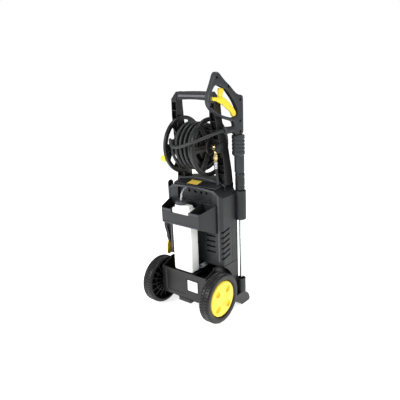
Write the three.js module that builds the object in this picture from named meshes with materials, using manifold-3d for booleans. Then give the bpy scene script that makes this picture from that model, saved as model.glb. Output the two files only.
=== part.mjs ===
// An upright electric pressure washer on two wheels, with a hose reel, a detergent bottle and a parked gun.
// Millimetres, +Z up. The working datum is x = 0 on the centre plane, y = 0 on the axle, z = 0 on the floor;
// -Y is the bottle side and +X is the gun side. The exported group is moved so that its origin is the
// middle of the bounding box on the floor.
import * as THREE from 'three';
import { mergeVertices } from 'three/addons/utils/BufferGeometryUtils.js';
import Module from 'manifold-3d';

const wasm = await Module();
wasm.setup();

// ---------- driving dimensions ----------
const gap = 0.3;                    // clearance between pieces that touch
const wall = 3;                     // moulded shell wall

const wheelRadius = 100;
const wheelWidth = 46;
const wheelClear = 10.5;            // the wheel's middle plane stands this far outside the body's side
const wheelDish = 12;               // outer face of the wheel web, from the wheel's middle plane
const tyreDepth = 28;               // from the tread to the hub cap's edge
const hubCapRadius = wheelRadius - tyreDepth;
const hubCapDome = 11;
const axleRadius = 6;
const bossRadius = 18;
const wheelRibs = 8;

const chassisRearY = -33;
const chassisTop = 181;
const chassisBottom = 66;
const archRadius = wheelRadius + 17; // wheel arch, about the axle
const tubWall = 6;
const footHeight = 60;
const footFrontY = 212;

const bodyHalfWidth = 140;
const wheelCentreX = bodyHalfWidth + wheelClear;
const chassisHalfWidth = bodyHalfWidth - 24;
const bodyRearY = 46;
const bodyFrontY = 158;
const bodyBottom = 207;
const seamY = 113;
const shoulderZ = 487;              // where the sloping top corners start
const eaveZ = 514;
const eaveX = bodyHalfWidth - 36;
const crownZ = 519.5;
const cornerChamfer = 11;
const recessDepth = 14;
const apronFrontY = bodyRearY + 7;  // front edge of the deck's sloping apron
const ventCount = 6;
const ventPitch = 22;

const deckRearY = 97;
const deckCrownZ = 545;
const deckEaveZ = 527;
const deckHalfWidth = bodyHalfWidth - 18;
const apronFrontZ = crownZ + 1.5;
const apronRearZ = crownZ + 11;

const nozzleX = [-29, 2, 32];
const nozzleZ = 493;
const needleX = 58;
const tubeExit = [-33, 507];
const switchX = 40;
const switchZ = 452;
const switchShaft = 5;

const trayRearHalf = 117;
const trayFrontHalf = 102;
const trayFrontY = -36.5;
const trayRimFront = 439;
const trayRimBack = 459;
const traySillFront = 378;
const traySillBack = 342;
const bottleHalf = 47;
const bottleFrontY = -32.5;
const bottleBackY = 17;
const bottleBase = 185;
const bottleShoulder = 446;
const bottleNeck = 457;
const capRadius = 23;
const capTop = 471;
const capX = -15;
const capY = -6;
const suctionRadius = 3.5;

const postInner = 87;
const postFootY0 = 99;
const postFootY1 = 150;
const postWidth = 29;
const postLean = 8;                 // the posts close in by this much towards the top
const handleTop = 879;
const gripUnder = 846;
const gripRearY = 67;
const gripFrontY = 103;
const stripHalf = 70;
const stripLow = 858;
const stripHeight = 10;

const reelY = 84;
const reelRadius = 113;
const reelZ = deckCrownZ + 15 + reelRadius;
const rimDepth = 15;
const rimWidth = 13;
const drumRadius = 54;
const drumLeft = -60;
const drumRight = 57;
const shaftRadius = 9;
const bushRadius = 12;
const flangeLeft = -68;
const flangeRight = 65;
const spokes = 6;
const swivelRadius = 14;
const crankThickness = 9;
const crankY = -32;                 // knob axis, from the reel axis
const crankZ = -60;
const knobRadius = 14;
const knobLength = 30;
const knobPin = 4.5;

const hoseDiameter = 12;
const coilRadius = reelRadius - 19;
const coilInner = 56;

const lanceX = bodyHalfWidth + 6;
const lanceY = 163;
const lanceRadius = 6.5;
const gunTurn = 79;                 // degrees that the parked gun is turned, from across to rearwards
const gunHalfThickness = 13;
const gunWall = 4;
const triggerHalfThickness = 6;
const barrelTop = 715;
const barrelOffset = -6;            // the grip sleeve sits off the lance axis, towards the trigger side
const barrelRadius = 25;
const neckRadius = 19.5;
const barrelBottom = 568;
const couplingBottom = 496;
const couplingRadius = 19;
const sleeveBottom = 378;
const sleeveRadius = 23.5;
const sprayHeadRadius = 11.5;
const sprayHeadBottom = 67;
const cupTop = 120;
const cupRadius = 18;
const inletZ = 738;
const inletStart = 31;              // distances from the lance axis to the hose inlet's two ends
const inletEnd = 78;
const inletRadius = 14;
const pivot = [-28, 792];
const pinRadius = 3;
const latchPivot = [-94, 868];
const latchPinRadius = 1.5;
const earInner = 2.9;

const cordDiameter = 8;
const hankX = -bodyHalfWidth - 9;
const hankThickness = 2 * cordDiameter;
const hankDepth = 40;
const hookArmRadius = 19.7;
const hookArmTopZ = 385;
const hookArmLowZ = 284;
const hookY = 105;
const hookReach = 22;
const hookPlate = 5;
const glandY = 143;
const glandZ = 470;
const glandDrop = 12;
const plugY = 178.5;
const plugTop = 338;
const plugHeight = 32;

const motorX = -24;
const motorY = 102;
const motorRadius = 47;

// ---------- colours ----------
const paint = {
  black: [0x2b2b2d, 0.55, 0],
  charcoal: [0x3a3a3d, 0.5, 0],
  grey: [0x55565a, 0.5, 0],
  yellow: [0xffd92e, 0.4, 0],
  white: [0xf2f2ee, 0.35, 0],
  brass: [0xc8a860, 0.3, 1],
  steel: [0xc9cbcd, 0.25, 1],
  iron: [0x8a8d90, 0.45, 1],
  rubber: [0x1c1c1e, 0.7, 0],
  clear: [0xd5dbe0, 0.2, 0],
};

// ---------- geometry helpers ----------
function bare(geometry) {
  const copy = geometry.clone();
  copy.deleteAttribute('normal');
  copy.deleteAttribute('uv');
  return mergeVertices(copy, 1e-4);
}

function signedVolume(position, index) {
  let total = 0;
  for (let i = 0; i < index.length; i += 3) {
    const a = new THREE.Vector3().fromArray(position, index[i] * 3);
    const b = new THREE.Vector3().fromArray(position, index[i + 1] * 3);
    const c = new THREE.Vector3().fromArray(position, index[i + 2] * 3);
    total += a.dot(b.cross(c));
  }
  return total;
}

// A closed three.js geometry as a solid with its faces pointing out.
function solid(geometry) {
  const merged = bare(geometry);
  const vertProperties = Float32Array.from(merged.getAttribute('position').array);
  const triVerts = Uint32Array.from(merged.getIndex().array);
  if (signedVolume(vertProperties, triVerts) < 0) {
    for (let i = 0; i < triVerts.length; i += 3) {
      [triVerts[i + 1], triVerts[i + 2]] = [triVerts[i + 2], triVerts[i + 1]];
    }
  }
  return new wasm.Manifold(new wasm.Mesh({ numProp: 3, vertProperties, triVerts }));
}

function join(pieces) {
  return pieces.reduce((whole, piece) => whole.add(piece));
}

function cut(base, tools) {
  return tools.reduce((whole, tool) => whole.subtract(tool), base);
}

function meshOf(name, shape, colour, parent) {
  const data = shape.getMesh();
  const geometry = new THREE.BufferGeometry();
  geometry.setAttribute('position', new THREE.BufferAttribute(Float32Array.from(data.vertProperties), 3));
  geometry.setIndex(Array.from(data.triVerts));
  geometry.computeVertexNormals();
  const [color, roughness, metalness] = paint[colour];
  const mesh = new THREE.Mesh(geometry, new THREE.MeshStandardMaterial({ color, roughness, metalness }));
  mesh.name = name;
  parent.add(mesh);
  return mesh;
}

function box(x0, x1, y0, y1, z0, z1) {
  const geometry = new THREE.BoxGeometry(x1 - x0, y1 - y0, z1 - z0);
  geometry.translate((x0 + x1) / 2, (y0 + y1) / 2, (z0 + z1) / 2);
  return solid(geometry);
}

// Outline points are [first, second] pairs in the plane square to the axis: z -> (x, y), y -> (x, z),
// x -> (y, z). The solid runs from low to high along the axis.
const bases = {
  z: new THREE.Matrix4(),
  y: new THREE.Matrix4().makeBasis(
    new THREE.Vector3(1, 0, 0), new THREE.Vector3(0, 0, 1), new THREE.Vector3(0, -1, 0)),
  x: new THREE.Matrix4().makeBasis(
    new THREE.Vector3(0, 1, 0), new THREE.Vector3(0, 0, 1), new THREE.Vector3(1, 0, 0)),
};

function prism(axis, outline, low, high) {
  const drawn = outline instanceof THREE.Shape;
  const shape = drawn ? outline : new THREE.Shape(outline.map(([u, v]) => new THREE.Vector2(u, v)));
  const depth = high - low;
  const geometry = new THREE.ExtrudeGeometry(shape, { depth, bevelEnabled: false, curveSegments: 5 });
  geometry.applyMatrix4(bases[axis]);
  if (axis === 'y') geometry.translate(0, high, 0);
  if (axis === 'x') geometry.translate(low, 0, 0);
  if (axis === 'z') geometry.translate(0, 0, low);
  return solid(geometry);
}

function roundedRect(u0, u1, v0, v1, radius) {
  const shape = new THREE.Shape();
  shape.moveTo(u0 + radius, v0);
  shape.lineTo(u1 - radius, v0);
  shape.absarc(u1 - radius, v0 + radius, radius, -Math.PI / 2, 0);
  shape.lineTo(u1, v1 - radius);
  shape.absarc(u1 - radius, v1 - radius, radius, 0, Math.PI / 2);
  shape.lineTo(u0 + radius, v1);
  shape.absarc(u0 + radius, v1 - radius, radius, Math.PI / 2, Math.PI);
  shape.lineTo(u0, v0 + radius);
  shape.absarc(u0 + radius, v0 + radius, radius, Math.PI, Math.PI * 1.5);
  return shape;
}

// A bar with round ends from one point to another, in an outline plane.
function stadium([u0, v0], [u1, v1], radius) {
  const along = Math.atan2(v1 - v0, u1 - u0);
  const shape = new THREE.Shape();
  shape.absarc(u1, v1, radius, along - Math.PI / 2, along + Math.PI / 2);
  shape.absarc(u0, v0, radius, along + Math.PI / 2, along + Math.PI * 1.5);
  return shape;
}

// Profile points are [radius, height]; the solid turns about the z axis.
function lathe(profile, segments = 24) {
  const points = profile.map(([r, h]) => new THREE.Vector2(r, h));
  const geometry = new THREE.LatheGeometry(points, segments);
  geometry.rotateX(Math.PI / 2);
  return solid(geometry);
}

// The same turned solid laid along +X.
function latheX(profile, segments = 24) {
  return lathe(profile, segments).rotate([0, 90, 0]);
}

function disc(radius, low, high, segments = 24) {
  return lathe([[0, low], [radius, low], [radius, high], [0, high]], segments);
}

function ring(inner, outer, low, high, segments = 24) {
  return lathe([[inner, low], [outer, low], [outer, high], [inner, high], [inner, low]], segments);
}

function rodX(radius, low, high, y, z, segments = 16) {
  return disc(radius, low, high, segments).rotate([0, 90, 0]).translate([0, y, z]);
}

function rodY(radius, low, high, x, z, segments = 16) {
  return disc(radius, low, high, segments).rotate([-90, 0, 0]).translate([x, 0, z]);
}

function rodZ(radius, low, high, x, y, segments = 16) {
  return disc(radius, low, high, segments).translate([x, y, 0]);
}

function tube(points, radius, steps, sides = 8) {
  const curve = new THREE.CatmullRomCurve3(points.map((p) => new THREE.Vector3(...p)), false, 'centripetal');
  const section = new THREE.Shape();
  for (let i = 0; i < sides; i += 1) {
    const angle = (i / sides) * Math.PI * 2;
    const place = [radius * Math.cos(angle), radius * Math.sin(angle)];
    if (i === 0) {
      section.moveTo(...place);
    } else {
      section.lineTo(...place);
    }
  }
  return solid(new THREE.ExtrudeGeometry(section, { steps, extrudePath: curve, bevelEnabled: false }));
}

// An outline drawn in by a distance, each side moved square to itself.
function inset(outline, distance) {
  const area = outline.reduce((sum, [u, v], i) => {
    const [nextU, nextV] = outline[(i + 1) % outline.length];
    return sum + u * nextV - nextU * v;
  }, 0);
  const turn = Math.sign(area);
  return outline.map(([u, v], i) => {
    const [u0, v0] = outline[(i + outline.length - 1) % outline.length];
    const [u1, v1] = outline[(i + 1) % outline.length];
    const before = new THREE.Vector2(u - u0, v - v0).normalize();
    const after = new THREE.Vector2(u1 - u, v1 - v).normalize();
    const normal = new THREE.Vector2(-before.y - after.y, before.x + after.x).normalize();
    const reach = (turn * distance) / (-before.y * normal.x + before.x * normal.y);
    return [u + normal.x * reach, v + normal.y * reach];
  });
}

const mirrorX = (outline) => outline.map(([u, v]) => [-u, v]).reverse();

// ---------- wheels ----------
function wheelSolid() {
  const half = wheelWidth / 2;
  const shoulder = 6;
  const bore = axleRadius + gap;
  const web = wheelDish - 5;
  const body = latheX([
    [bore, -half + shoulder / 2], [bossRadius, -half + shoulder / 2], [bossRadius, web],
    [hubCapRadius + 8, web], [hubCapRadius + 14, -half], [wheelRadius - shoulder, -half],
    [wheelRadius, -half + shoulder], [wheelRadius, half - shoulder], [wheelRadius - shoulder, half],
    [hubCapRadius + 8, half], [hubCapRadius + 1, half - 3], [hubCapRadius + 1, wheelDish],
    [bore, wheelDish], [bore, -half + shoulder / 2],
  ], 40);
  const ribs = [];
  for (let i = 0; i < wheelRibs; i += 1) {
    const rib = box(-half + shoulder, web + 1, -2, 2, bossRadius - 1, hubCapRadius + 10);
    ribs.push(rib.rotate([(360 * i) / wheelRibs, 0, 0]));
  }
  return join([body, ...ribs]);
}

function hubCapSolid() {
  const back = wheelDish + gap;
  const face = wheelDish + hubCapDome;
  const cap = latheX([
    [0, back], [hubCapRadius - 2, back], [hubCapRadius, back + 2], [hubCapRadius, face - 4],
    [hubCapRadius - 8, face - 1], [24, face], [20, face - 2], [0, face - 2],
  ], 40);
  const pockets = [];
  for (let i = 0; i < 4; i += 1) {
    const pocket = prism('x', stadium([hubCapRadius - 31, 0], [hubCapRadius - 22, 0], 10), face - 6, face + 5);
    pockets.push(pocket.rotate([45 + 90 * i, 0, 0]));
  }
  return cut(cap, pockets);
}

function addWheel(parent, side) {
  const place = new THREE.Group();
  place.position.set(side * wheelCentreX, 0, wheelRadius);
  if (side < 0) place.rotation.z = Math.PI;
  parent.add(place);
  const name = side < 0 ? 'left' : 'right';
  meshOf(`${name}_wheel`, wheelSolid(), 'charcoal', place);
  meshOf(`${name}_hub_cap`, hubCapSolid(), 'yellow', place);
}

// ---------- chassis ----------
const lanceChannel = () => rodZ(sprayHeadRadius + 2.5, 0, bodyBottom + 400, lanceX, lanceY, 32);

function chassisSolid() {
  const outer = chassisHalfWidth;
  const inner = chassisHalfWidth - tubWall;
  const frontIn = bodyFrontY - tubWall;
  const top = bodyBottom - gap;
  const armTopY = bodyRearY - 8;
  const side = [
    [chassisRearY, chassisBottom], [bodyFrontY, chassisBottom], [bodyFrontY, top], [armTopY, top],
    [chassisRearY, chassisTop],
  ];
  const pieces = [
    prism('x', side, inner, outer),
    prism('x', side, -outer, -inner),
    box(-outer, outer, chassisRearY, bodyFrontY, chassisBottom, chassisBottom + tubWall),
    box(-outer, outer, chassisRearY, chassisRearY + tubWall, chassisBottom, chassisTop),
    box(-bodyHalfWidth, bodyHalfWidth, frontIn, bodyFrontY, chassisBottom, top),
    box(-outer, outer, -18, 18, wheelRadius - 18, wheelRadius + 18),
    box(-bottleHalf - 6, bottleHalf + 6, chassisRearY, bottleBackY + 6, chassisTop - 8, chassisTop),
    box(-32, 32, chassisRearY + 1, 24, footHeight - 12, chassisBottom + 1),
  ];
  for (const s of [-1, 1]) {
    const low = s < 0 ? -bodyHalfWidth : inner;
    const high = s < 0 ? -inner : bodyHalfWidth;
    const shoulder = box(low, high, 20, bodyFrontY, footHeight, top);
    const hollow = box(low + tubWall, high - tubWall, 0, frontIn, footHeight - 1, top - tubWall);
    pieces.push(shoulder.subtract(hollow));
  }
  const arch = (low, high) => rodX(archRadius, low, high, 0, wheelRadius, 64);
  const label = box(18, 74, chassisRearY - 5, chassisRearY + 1.2, 104, 155);
  const recess = box(-96, 8, chassisRearY - 5, chassisRearY + 3, 84, 170);
  return cut(join(pieces), [
    arch(outer + gap / 3, bodyHalfWidth + 5),
    arch(-bodyHalfWidth - 5, -outer - gap / 3),
    rodX(axleRadius + gap, -outer - 5, outer + 5, 0, wheelRadius, 32),
    rodZ(cupRadius + gap, footHeight - 5, cupTop + 5, lanceX, lanceY, 32),
    lanceChannel(),
    label,
    recess,
  ]);
}

function footSolid(side) {
  const outline = [
    [104, 34], [104, footHeight - gap], [172, footHeight - gap], [202, 34], [footFrontY, 12],
    [footFrontY - 4, 0], [154, 0], [146, 10], [130, 24],
  ];
  const low = side < 0 ? -bodyHalfWidth - 16 : chassisHalfWidth + 3;
  const high = side < 0 ? -chassisHalfWidth - 3 : bodyHalfWidth + 16;
  return prism('x', outline, low, high);
}

function cupSolid() {
  const floor = footHeight + 4;
  return lathe([
    [0, footHeight], [cupRadius, footHeight], [cupRadius, cupTop], [cupRadius - 4, cupTop],
    [cupRadius - 4, floor], [0, floor],
  ], 32).translate([lanceX, lanceY, 0]);
}

// ---------- body shells ----------
// Plan and elevation outlines of the body, drawn in by an inset.
function bodyPlan(inset) {
  const x = bodyHalfWidth - inset;
  const y0 = bodyRearY + inset;
  const y1 = bodyFrontY - inset;
  const c = cornerChamfer;
  return [
    [x, y0 + c], [x, y1 - 6], [x - 6, y1], [-x + 6, y1],
    [-x, y1 - 6], [-x, y0 + c], [-x + c, y0], [x - c, y0],
  ];
}

function bodyElevation(inset, bottom) {
  const shape = new THREE.Shape();
  const x = bodyHalfWidth - inset;
  shape.moveTo(-x, bottom);
  shape.lineTo(x, bottom);
  shape.lineTo(x, shoulderZ - inset);
  shape.lineTo(eaveX - inset / 2, eaveZ - inset);
  shape.quadraticCurveTo(0, 2 * crownZ - eaveZ - inset, -eaveX + inset / 2, eaveZ - inset);
  shape.lineTo(-x, shoulderZ - inset);
  shape.closePath();
  return shape;
}

function bodyBlock(inset, bottom) {
  const plan = prism('z', bodyPlan(inset), bottom, crownZ + 20);
  const elevation = prism('y', bodyElevation(inset, bottom), bodyRearY - 5, bodyFrontY + 5);
  return plan.intersect(elevation);
}

const sleeveNotch = () => (
  rodZ(sleeveRadius + gap, sleeveBottom - gap, couplingBottom + 30, lanceX, lanceY, 32)
);
const wheelArches = () => rodX(archRadius, -bodyHalfWidth - 5, bodyHalfWidth + 5, 0, wheelRadius, 64);

// Slanted cooling slots on the right side, wrapped round the rear corner, and level ones on the rear face.
function ventCuts() {
  const cuts = [];
  for (let i = 0; i < ventCount; i += 1) {
    const z = 346 - i * ventPitch;
    for (const s of [-1, 1]) {
      const x = s * bodyHalfWidth;
      const slot = [[bodyRearY - 8, z - 4], [96, z + 9], [96, z + 15], [bodyRearY - 8, z + 2]];
      cuts.push(prism('x', slot, x - 8, x + 8));
    }
  }
  for (let i = 0; i < 4; i += 1) {
    const z = 326 - i * ventPitch;
    cuts.push(box(60, 106, bodyRearY - 5, bodyRearY + 8, z, z + 6));
  }
  return cuts;
}

function shellSolid() {
  return bodyBlock(0, bodyBottom).subtract(bodyBlock(wall, bodyBottom - 5));
}

function rearShellSolid() {
  const half = shellSolid().intersect(box(-200, 200, 0, seamY, 0, 600));
  const recessBack = bodyRearY + recessDepth;
  const liner = box(-80, 98, bodyRearY + 0.5, recessBack + wall, 455, 518)
    .intersect(bodyBlock(0.5, bodyBottom));
  const recess = box(-77, 95, bodyRearY - 5, recessBack, 458, 513);
  const tubeSlotHalf = suctionRadius + 2;
  const [exitX] = tubeExit;
  const tubeSlot = box(exitX - tubeSlotHalf, exitX + tubeSlotHalf, bodyRearY - 5, recessBack, 500, 530);
  const holes = nozzleX.map((x) => rodY(5.5, bodyRearY, recessBack + 12, x, nozzleZ));
  const needle = join([
    box(needleX - 6, needleX + 6, bodyRearY, recessBack + 12, nozzleZ - 2, nozzleZ + 2),
    box(needleX - 2, needleX + 2, bodyRearY, recessBack + 12, nozzleZ - 6, nozzleZ + 6),
  ]);
  const suction = rodY(suctionRadius + 1, bodyRearY, recessBack + 12, ...tubeExit);
  return cut(half.add(liner), [
    recess, tubeSlot, ...holes, needle, suction, wheelArches(), ...ventCuts(), sleeveNotch(), lanceChannel(),
  ]);
}

function frontShellSolid() {
  const half = shellSolid().intersect(box(-200, 200, seamY + gap, 200, 0, 600));
  const rear = [];
  for (let i = 0; i < 7; i += 1) {
    const z = 250 + i * ventPitch;
    rear.push(box(-70, 70, bodyFrontY - 8, bodyFrontY + 8, z, z + 6));
  }
  return cut(half, [
    ...rear, sleeveNotch(), lanceChannel(), wheelArches(),
    rodY(switchShaft + gap, bodyFrontY - 8, bodyFrontY + 8, switchX, switchZ),
    rodX(cordDiameter / 2 + 2 + gap, -bodyHalfWidth - 8, -bodyHalfWidth + 8, glandY, glandZ),
  ]);
}

// ---------- deck ----------

function deckArch(inset, base) {
  const shape = new THREE.Shape();
  const half = deckHalfWidth - inset;
  shape.moveTo(-half, base);
  shape.lineTo(half, base);
  shape.lineTo(half, deckEaveZ - inset);
  shape.quadraticCurveTo(0, 2 * deckCrownZ - deckEaveZ - inset, -half, deckEaveZ - inset);
  shape.closePath();
  return shape;
}

function deckSolid() {
  const body = prism('y', deckArch(0, eaveZ - 20), deckRearY + 4, bodyFrontY - 4);
  const lip = prism('y', deckArch(0, eaveZ - 20), deckRearY, deckRearY + 10)
    .subtract(prism('y', deckArch(5, eaveZ - 30), deckRearY - 5, deckRearY + 30));
  const hollow = prism('y', deckArch(wall, eaveZ - 30), deckRearY + 4 + wall, bodyFrontY - 4 - wall);
  const posts = [-1, 1].map((s) => {
    const low = s < 0 ? -postInner - postWidth - 8 : postInner - 3;
    return box(low - gap, low + postWidth + 11 + gap, postFootY0 - gap, postFootY1 + gap, 480, 600);
  });
  const under = bodyBlock(-gap, bodyBottom);
  const apron = prism('x', [
    [apronFrontY, eaveZ - 10], [deckRearY + 6, eaveZ - 10],
    [deckRearY + 6, apronRearZ], [apronFrontY, apronFrontZ],
  ], -eaveX, eaveX);
  return cut(join([body, lip, apron]).subtract(hollow), [under, ...posts]);
}

// ---------- handle ----------
const postRear = [
  [postFootY0, 524], [postFootY0, 600], [95, 660], [78, 705], [gripRearY, 785], [gripRearY, 880],
];
const postFront = [
  [postFootY1, 524], [147, 570], [134, 665], [108, 770], [gripFrontY, 830], [gripFrontY, 880],
];

function postSolid(side) {
  const inner = postInner;
  const outer = postInner + postWidth;
  const elevation = [
    [inner - 3, 524], [outer + 7, 524], [outer + 4, 600], [outer - postLean, 790],
    [outer - postLean - 1, 850], [outer - postLean - 27, handleTop - 1], [inner - postLean, handleTop - 1],
    [inner - postLean, 790], [inner - 3, 640],
  ];
  const sideView = [...postRear, ...postFront.slice().reverse()];
  const rearBand = [...postRear, ...postRear.map(([y, z]) => [y + 18, z]).reverse()]
    .map(([y, z]) => [y - 1, z]);
  const face = side < 0 ? mirrorX(elevation) : elevation;
  let post = prism('y', face, 40, 180).intersect(prism('x', sideView, -200, 200));
  const innerFace = elevation.map(([x, z]) => [x + (x > inner + 12 ? -4 : 4), z + (z > 870 ? -5 : 0)]);
  const channelFace = side < 0 ? mirrorX(innerFace) : innerFace;
  const channel = prism('y', channelFace, 40, 180).intersect(prism('x', rearBand, -200, 200));
  for (let z = 536; z < 830; z += 34) {
    const atReel = z < reelZ + 28 && z + 30 > reelZ - 28;
    if (!atReel) post = post.subtract(channel.intersect(box(-200, 200, 40, 180, z, z + 30)));
  }
  const lugInner = outer - 14;
  const lugLow = side < 0 ? -outer : lugInner;
  const lug = join([
    rodX(20, lugLow, lugLow + 14, reelY, reelZ, 32),
    box(lugLow, lugLow + 14, reelY, reelY + 22, reelZ - 20, reelZ + 20),
  ]);
  const swivelRoom = rodX(swivelRadius + 1, -lugInner, lugInner, reelY, reelZ, 32);
  return cut(post.add(lug), [rodX(bushRadius + gap, -200, 200, reelY, reelZ, 32), swivelRoom]);
}

function gripSolid() {
  const half = postInner - postLean - gap;
  const shape = new THREE.Shape();
  shape.moveTo(-half, gripUnder);
  shape.quadraticCurveTo(0, gripUnder + 8, half, gripUnder);
  shape.lineTo(half, handleTop - 2);
  shape.quadraticCurveTo(0, handleTop + 2, -half, handleTop - 2);
  shape.closePath();
  const section = roundedRect(gripRearY, gripFrontY, gripUnder - 5, handleTop + 5, 6);
  const bar = prism('y', shape, gripRearY, gripFrontY).intersect(prism('x', section, -half, half));
  return bar.subtract(box(-stripHalf - gap, stripHalf + gap, gripRearY - 5, gripRearY + 4, stripLow - gap,
    stripLow + stripHeight + gap));
}

function gripStripSolid() {
  return box(-stripHalf, stripHalf, gripRearY - 1, gripRearY + 3.7, stripLow, stripLow + stripHeight);
}

// ---------- reel ----------

function flangeSolid(centre) {
  const half = rimWidth / 2;
  const pieces = [
    ring(reelRadius - rimDepth, reelRadius, -half, half, 40),
    ring(shaftRadius + gap, 30, -half, half, 20),
  ];
  for (let i = 0; i < spokes; i += 1) {
    const spoke = box(28, reelRadius - rimDepth + 2, -9, 9, -3, 3);
    pieces.push(spoke.rotate([0, 0, (360 * (i + 0.5)) / spokes]));
  }
  return join(pieces).rotate([0, 90, 0]).translate([centre, 0, 0]);
}

function shaftSolid(left, right) {
  return disc(shaftRadius, left, right, 24).rotate([0, 90, 0]);
}

function crankSolid(outerX) {
  const arm = prism('x', stadium([0, 0], [crankY, crankZ], 13), outerX - crankThickness, outerX);
  return arm.subtract(disc(knobPin + gap, -300, 300, 24).rotate([0, 90, 0]).translate([0, crankY, crankZ]));
}

function knobSolid(face) {
  const grip = lathe([
    [0, 0], [knobRadius - 3, 0], [knobRadius, 6], [knobRadius - 2, knobLength - 8],
    [knobRadius - 4, knobLength], [0, knobLength],
  ], 24);
  const pin = disc(knobPin, -crankThickness, 1, 24);
  return join([grip, pin]).rotate([0, -90, 0]).translate([face, crankY, crankZ]);
}

function bushSolid(x0, x1) {
  return ring(shaftRadius + gap, bushRadius, x0, x1, 20).rotate([0, 90, 0]).translate([0, reelY, reelZ]);
}

// ---------- tray and bottle ----------
function trayPlan(inset) {
  const t = inset;
  const back = bodyRearY - gap;
  return [
    [-trayFrontHalf + t + 8, trayFrontY + t], [trayFrontHalf - t - 8, trayFrontY + t],
    [trayFrontHalf - t, trayFrontY + t + 8], [trayRearHalf - t, 38], [trayRearHalf - t, back],
    [-trayRearHalf + t, back], [-trayRearHalf + t, 38], [-trayFrontHalf + t, trayFrontY + t + 8],
  ];
}

function traySolid() {
  const back = bodyRearY - gap;
  const side = [
    [trayFrontY, traySillFront], [back, traySillBack], [back, trayRimBack], [trayFrontY, trayRimFront],
  ];
  const block = prism('z', trayPlan(0), traySillBack - 10, trayRimBack + 10)
    .intersect(prism('x', side, -200, 200));
  const cellInner = bottleHalf + 3 + wall;
  const cellPlan = (low, high) => prism('z', trayPlan(wall), traySillFront + 6, 600)
    .intersect(box(low, high, trayFrontY, back - wall, 300, 600));
  const well = box(-bottleHalf - gap * 2, bottleHalf + gap * 2, bottleFrontY - gap * 2, back + 5, 300, 600);
  const notch = box(-43, 43, trayFrontY - 5, bottleFrontY, trayRimFront - 13, 600);
  return cut(block, [cellPlan(-200, -cellInner), cellPlan(cellInner, 200), well, notch]);
}

function bottleSolid() {
  const plan = roundedRect(-bottleHalf, bottleHalf, bottleFrontY, bottleBackY, 9);
  const body = prism('z', plan, bottleBase, bottleShoulder);
  const neckPlan = roundedRect(-bottleHalf + 8, bottleHalf - 8, bottleFrontY + 12, bottleBackY - 1, 6);
  const neckBlock = prism('z', neckPlan, bottleShoulder - 1, bottleNeck);
  return join([body, neckBlock]);
}

const suctionRoute = [
  [capX, capY, capTop + gap], [capX, capY, capTop + 8], [capX - 4, 4, capTop + 26],
  [capX - 12, 25, tubeExit[1] - 2],
  [tubeExit[0], bodyRearY - 3, tubeExit[1]], [tubeExit[0], apronFrontY - 0.5, tubeExit[1]],
];

function deckLabelSolid() {
  const rise = (apronRearZ - apronFrontZ) / (deckRearY + 6 - apronFrontY);
  const heightAt = (y) => apronFrontZ + (y - apronFrontY) * rise + gap;
  const near = apronFrontY + 3;
  const far = deckRearY - 2;
  return prism('x', [
    [near, heightAt(near)], [far, heightAt(far)], [far, heightAt(far) + 0.8], [near, heightAt(near) + 0.8],
  ], -40, 16);
}

function bottleCapSolid() {
  return lathe([
    [0, bottleNeck + gap], [capRadius, bottleNeck + gap], [capRadius, capTop - 3], [capRadius - 3, capTop],
    [0, capTop],
  ], 24).translate([capX, capY, 0]);
}

// ---------- cord side ----------

// Side outlines (y, z) of the two hooks' tip plates. The lower one swivels on its arm to let the cord go.
const upperPlate = [
  [86, 376], [118, 376], [120, 398], [108, 430], [108, 506], [100, 514], [86, 514], [78, 506], [78, 440],
];
const lowerPlate = [
  [88, 302], [116, 300], [122, 276], [106, 246], [78, 192], [54, 190], [48, 200], [50, 236], [66, 268],
];

function hookSolid(armZ, plate) {
  const low = -bodyHalfWidth - gap - hookReach;
  const arm = rodX(hookArmRadius, low, -bodyHalfWidth - gap, hookY, armZ, 32);
  return arm.add(prism('x', plate, low, low + hookPlate));
}

function hankSolid() {
  const inner = hookArmRadius + gap;
  const centres = [[hookY, hookArmLowZ], [hookY, hookArmTopZ]];
  const x0 = hankX - hankThickness / 2;
  const x1 = hankX + hankThickness / 2;
  return prism('x', stadium(...centres, inner + hankDepth), x0, x1)
    .subtract(prism('x', stadium(...centres, inner), x0 - 5, x1 + 5));
}

// The cord leaves downwards from an elbow gland on the left side and runs into the hank's rear side.
function glandSolid() {
  const outside = -bodyHalfWidth - gap;
  const block = box(hankX - 7, outside, glandY - 7, glandY + 7, glandZ - 7, glandZ + 7);
  const sleeve = rodZ(6, glandZ - glandDrop, glandZ, hankX, glandY, 16);
  const shank = rodX(cordDiameter / 2 + 2, outside - 1, -bodyHalfWidth + wall + 4, glandY, glandZ, 16);
  return join([block, sleeve, shank]);
}

const cordRoute = [
  [hankX, glandY, glandZ - glandDrop - gap], [hankX, glandY, 448], [hankX, 147, 437], [hankX, 156, 426],
  [hankX, 165.5, 409], [hankX, 169, 393],
];

// The plug hangs, pins down, behind the hank.

function plugSolid() {
  const low = plugTop - plugHeight;
  const plan = roundedRect(hankX - 8, hankX + 8, plugY - 12.5, plugY + 12.5, 5);
  const tail = rodZ(5.5, plugTop - 1, plugTop + 10, hankX, plugY, 16);
  const pins = [-1, 1].map((s) => rodZ(2.4, low - 18, low + 1, hankX, plugY + s * 9.5, 12));
  return join([prism('z', plan, low, plugTop), tail, ...pins]);
}

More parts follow.
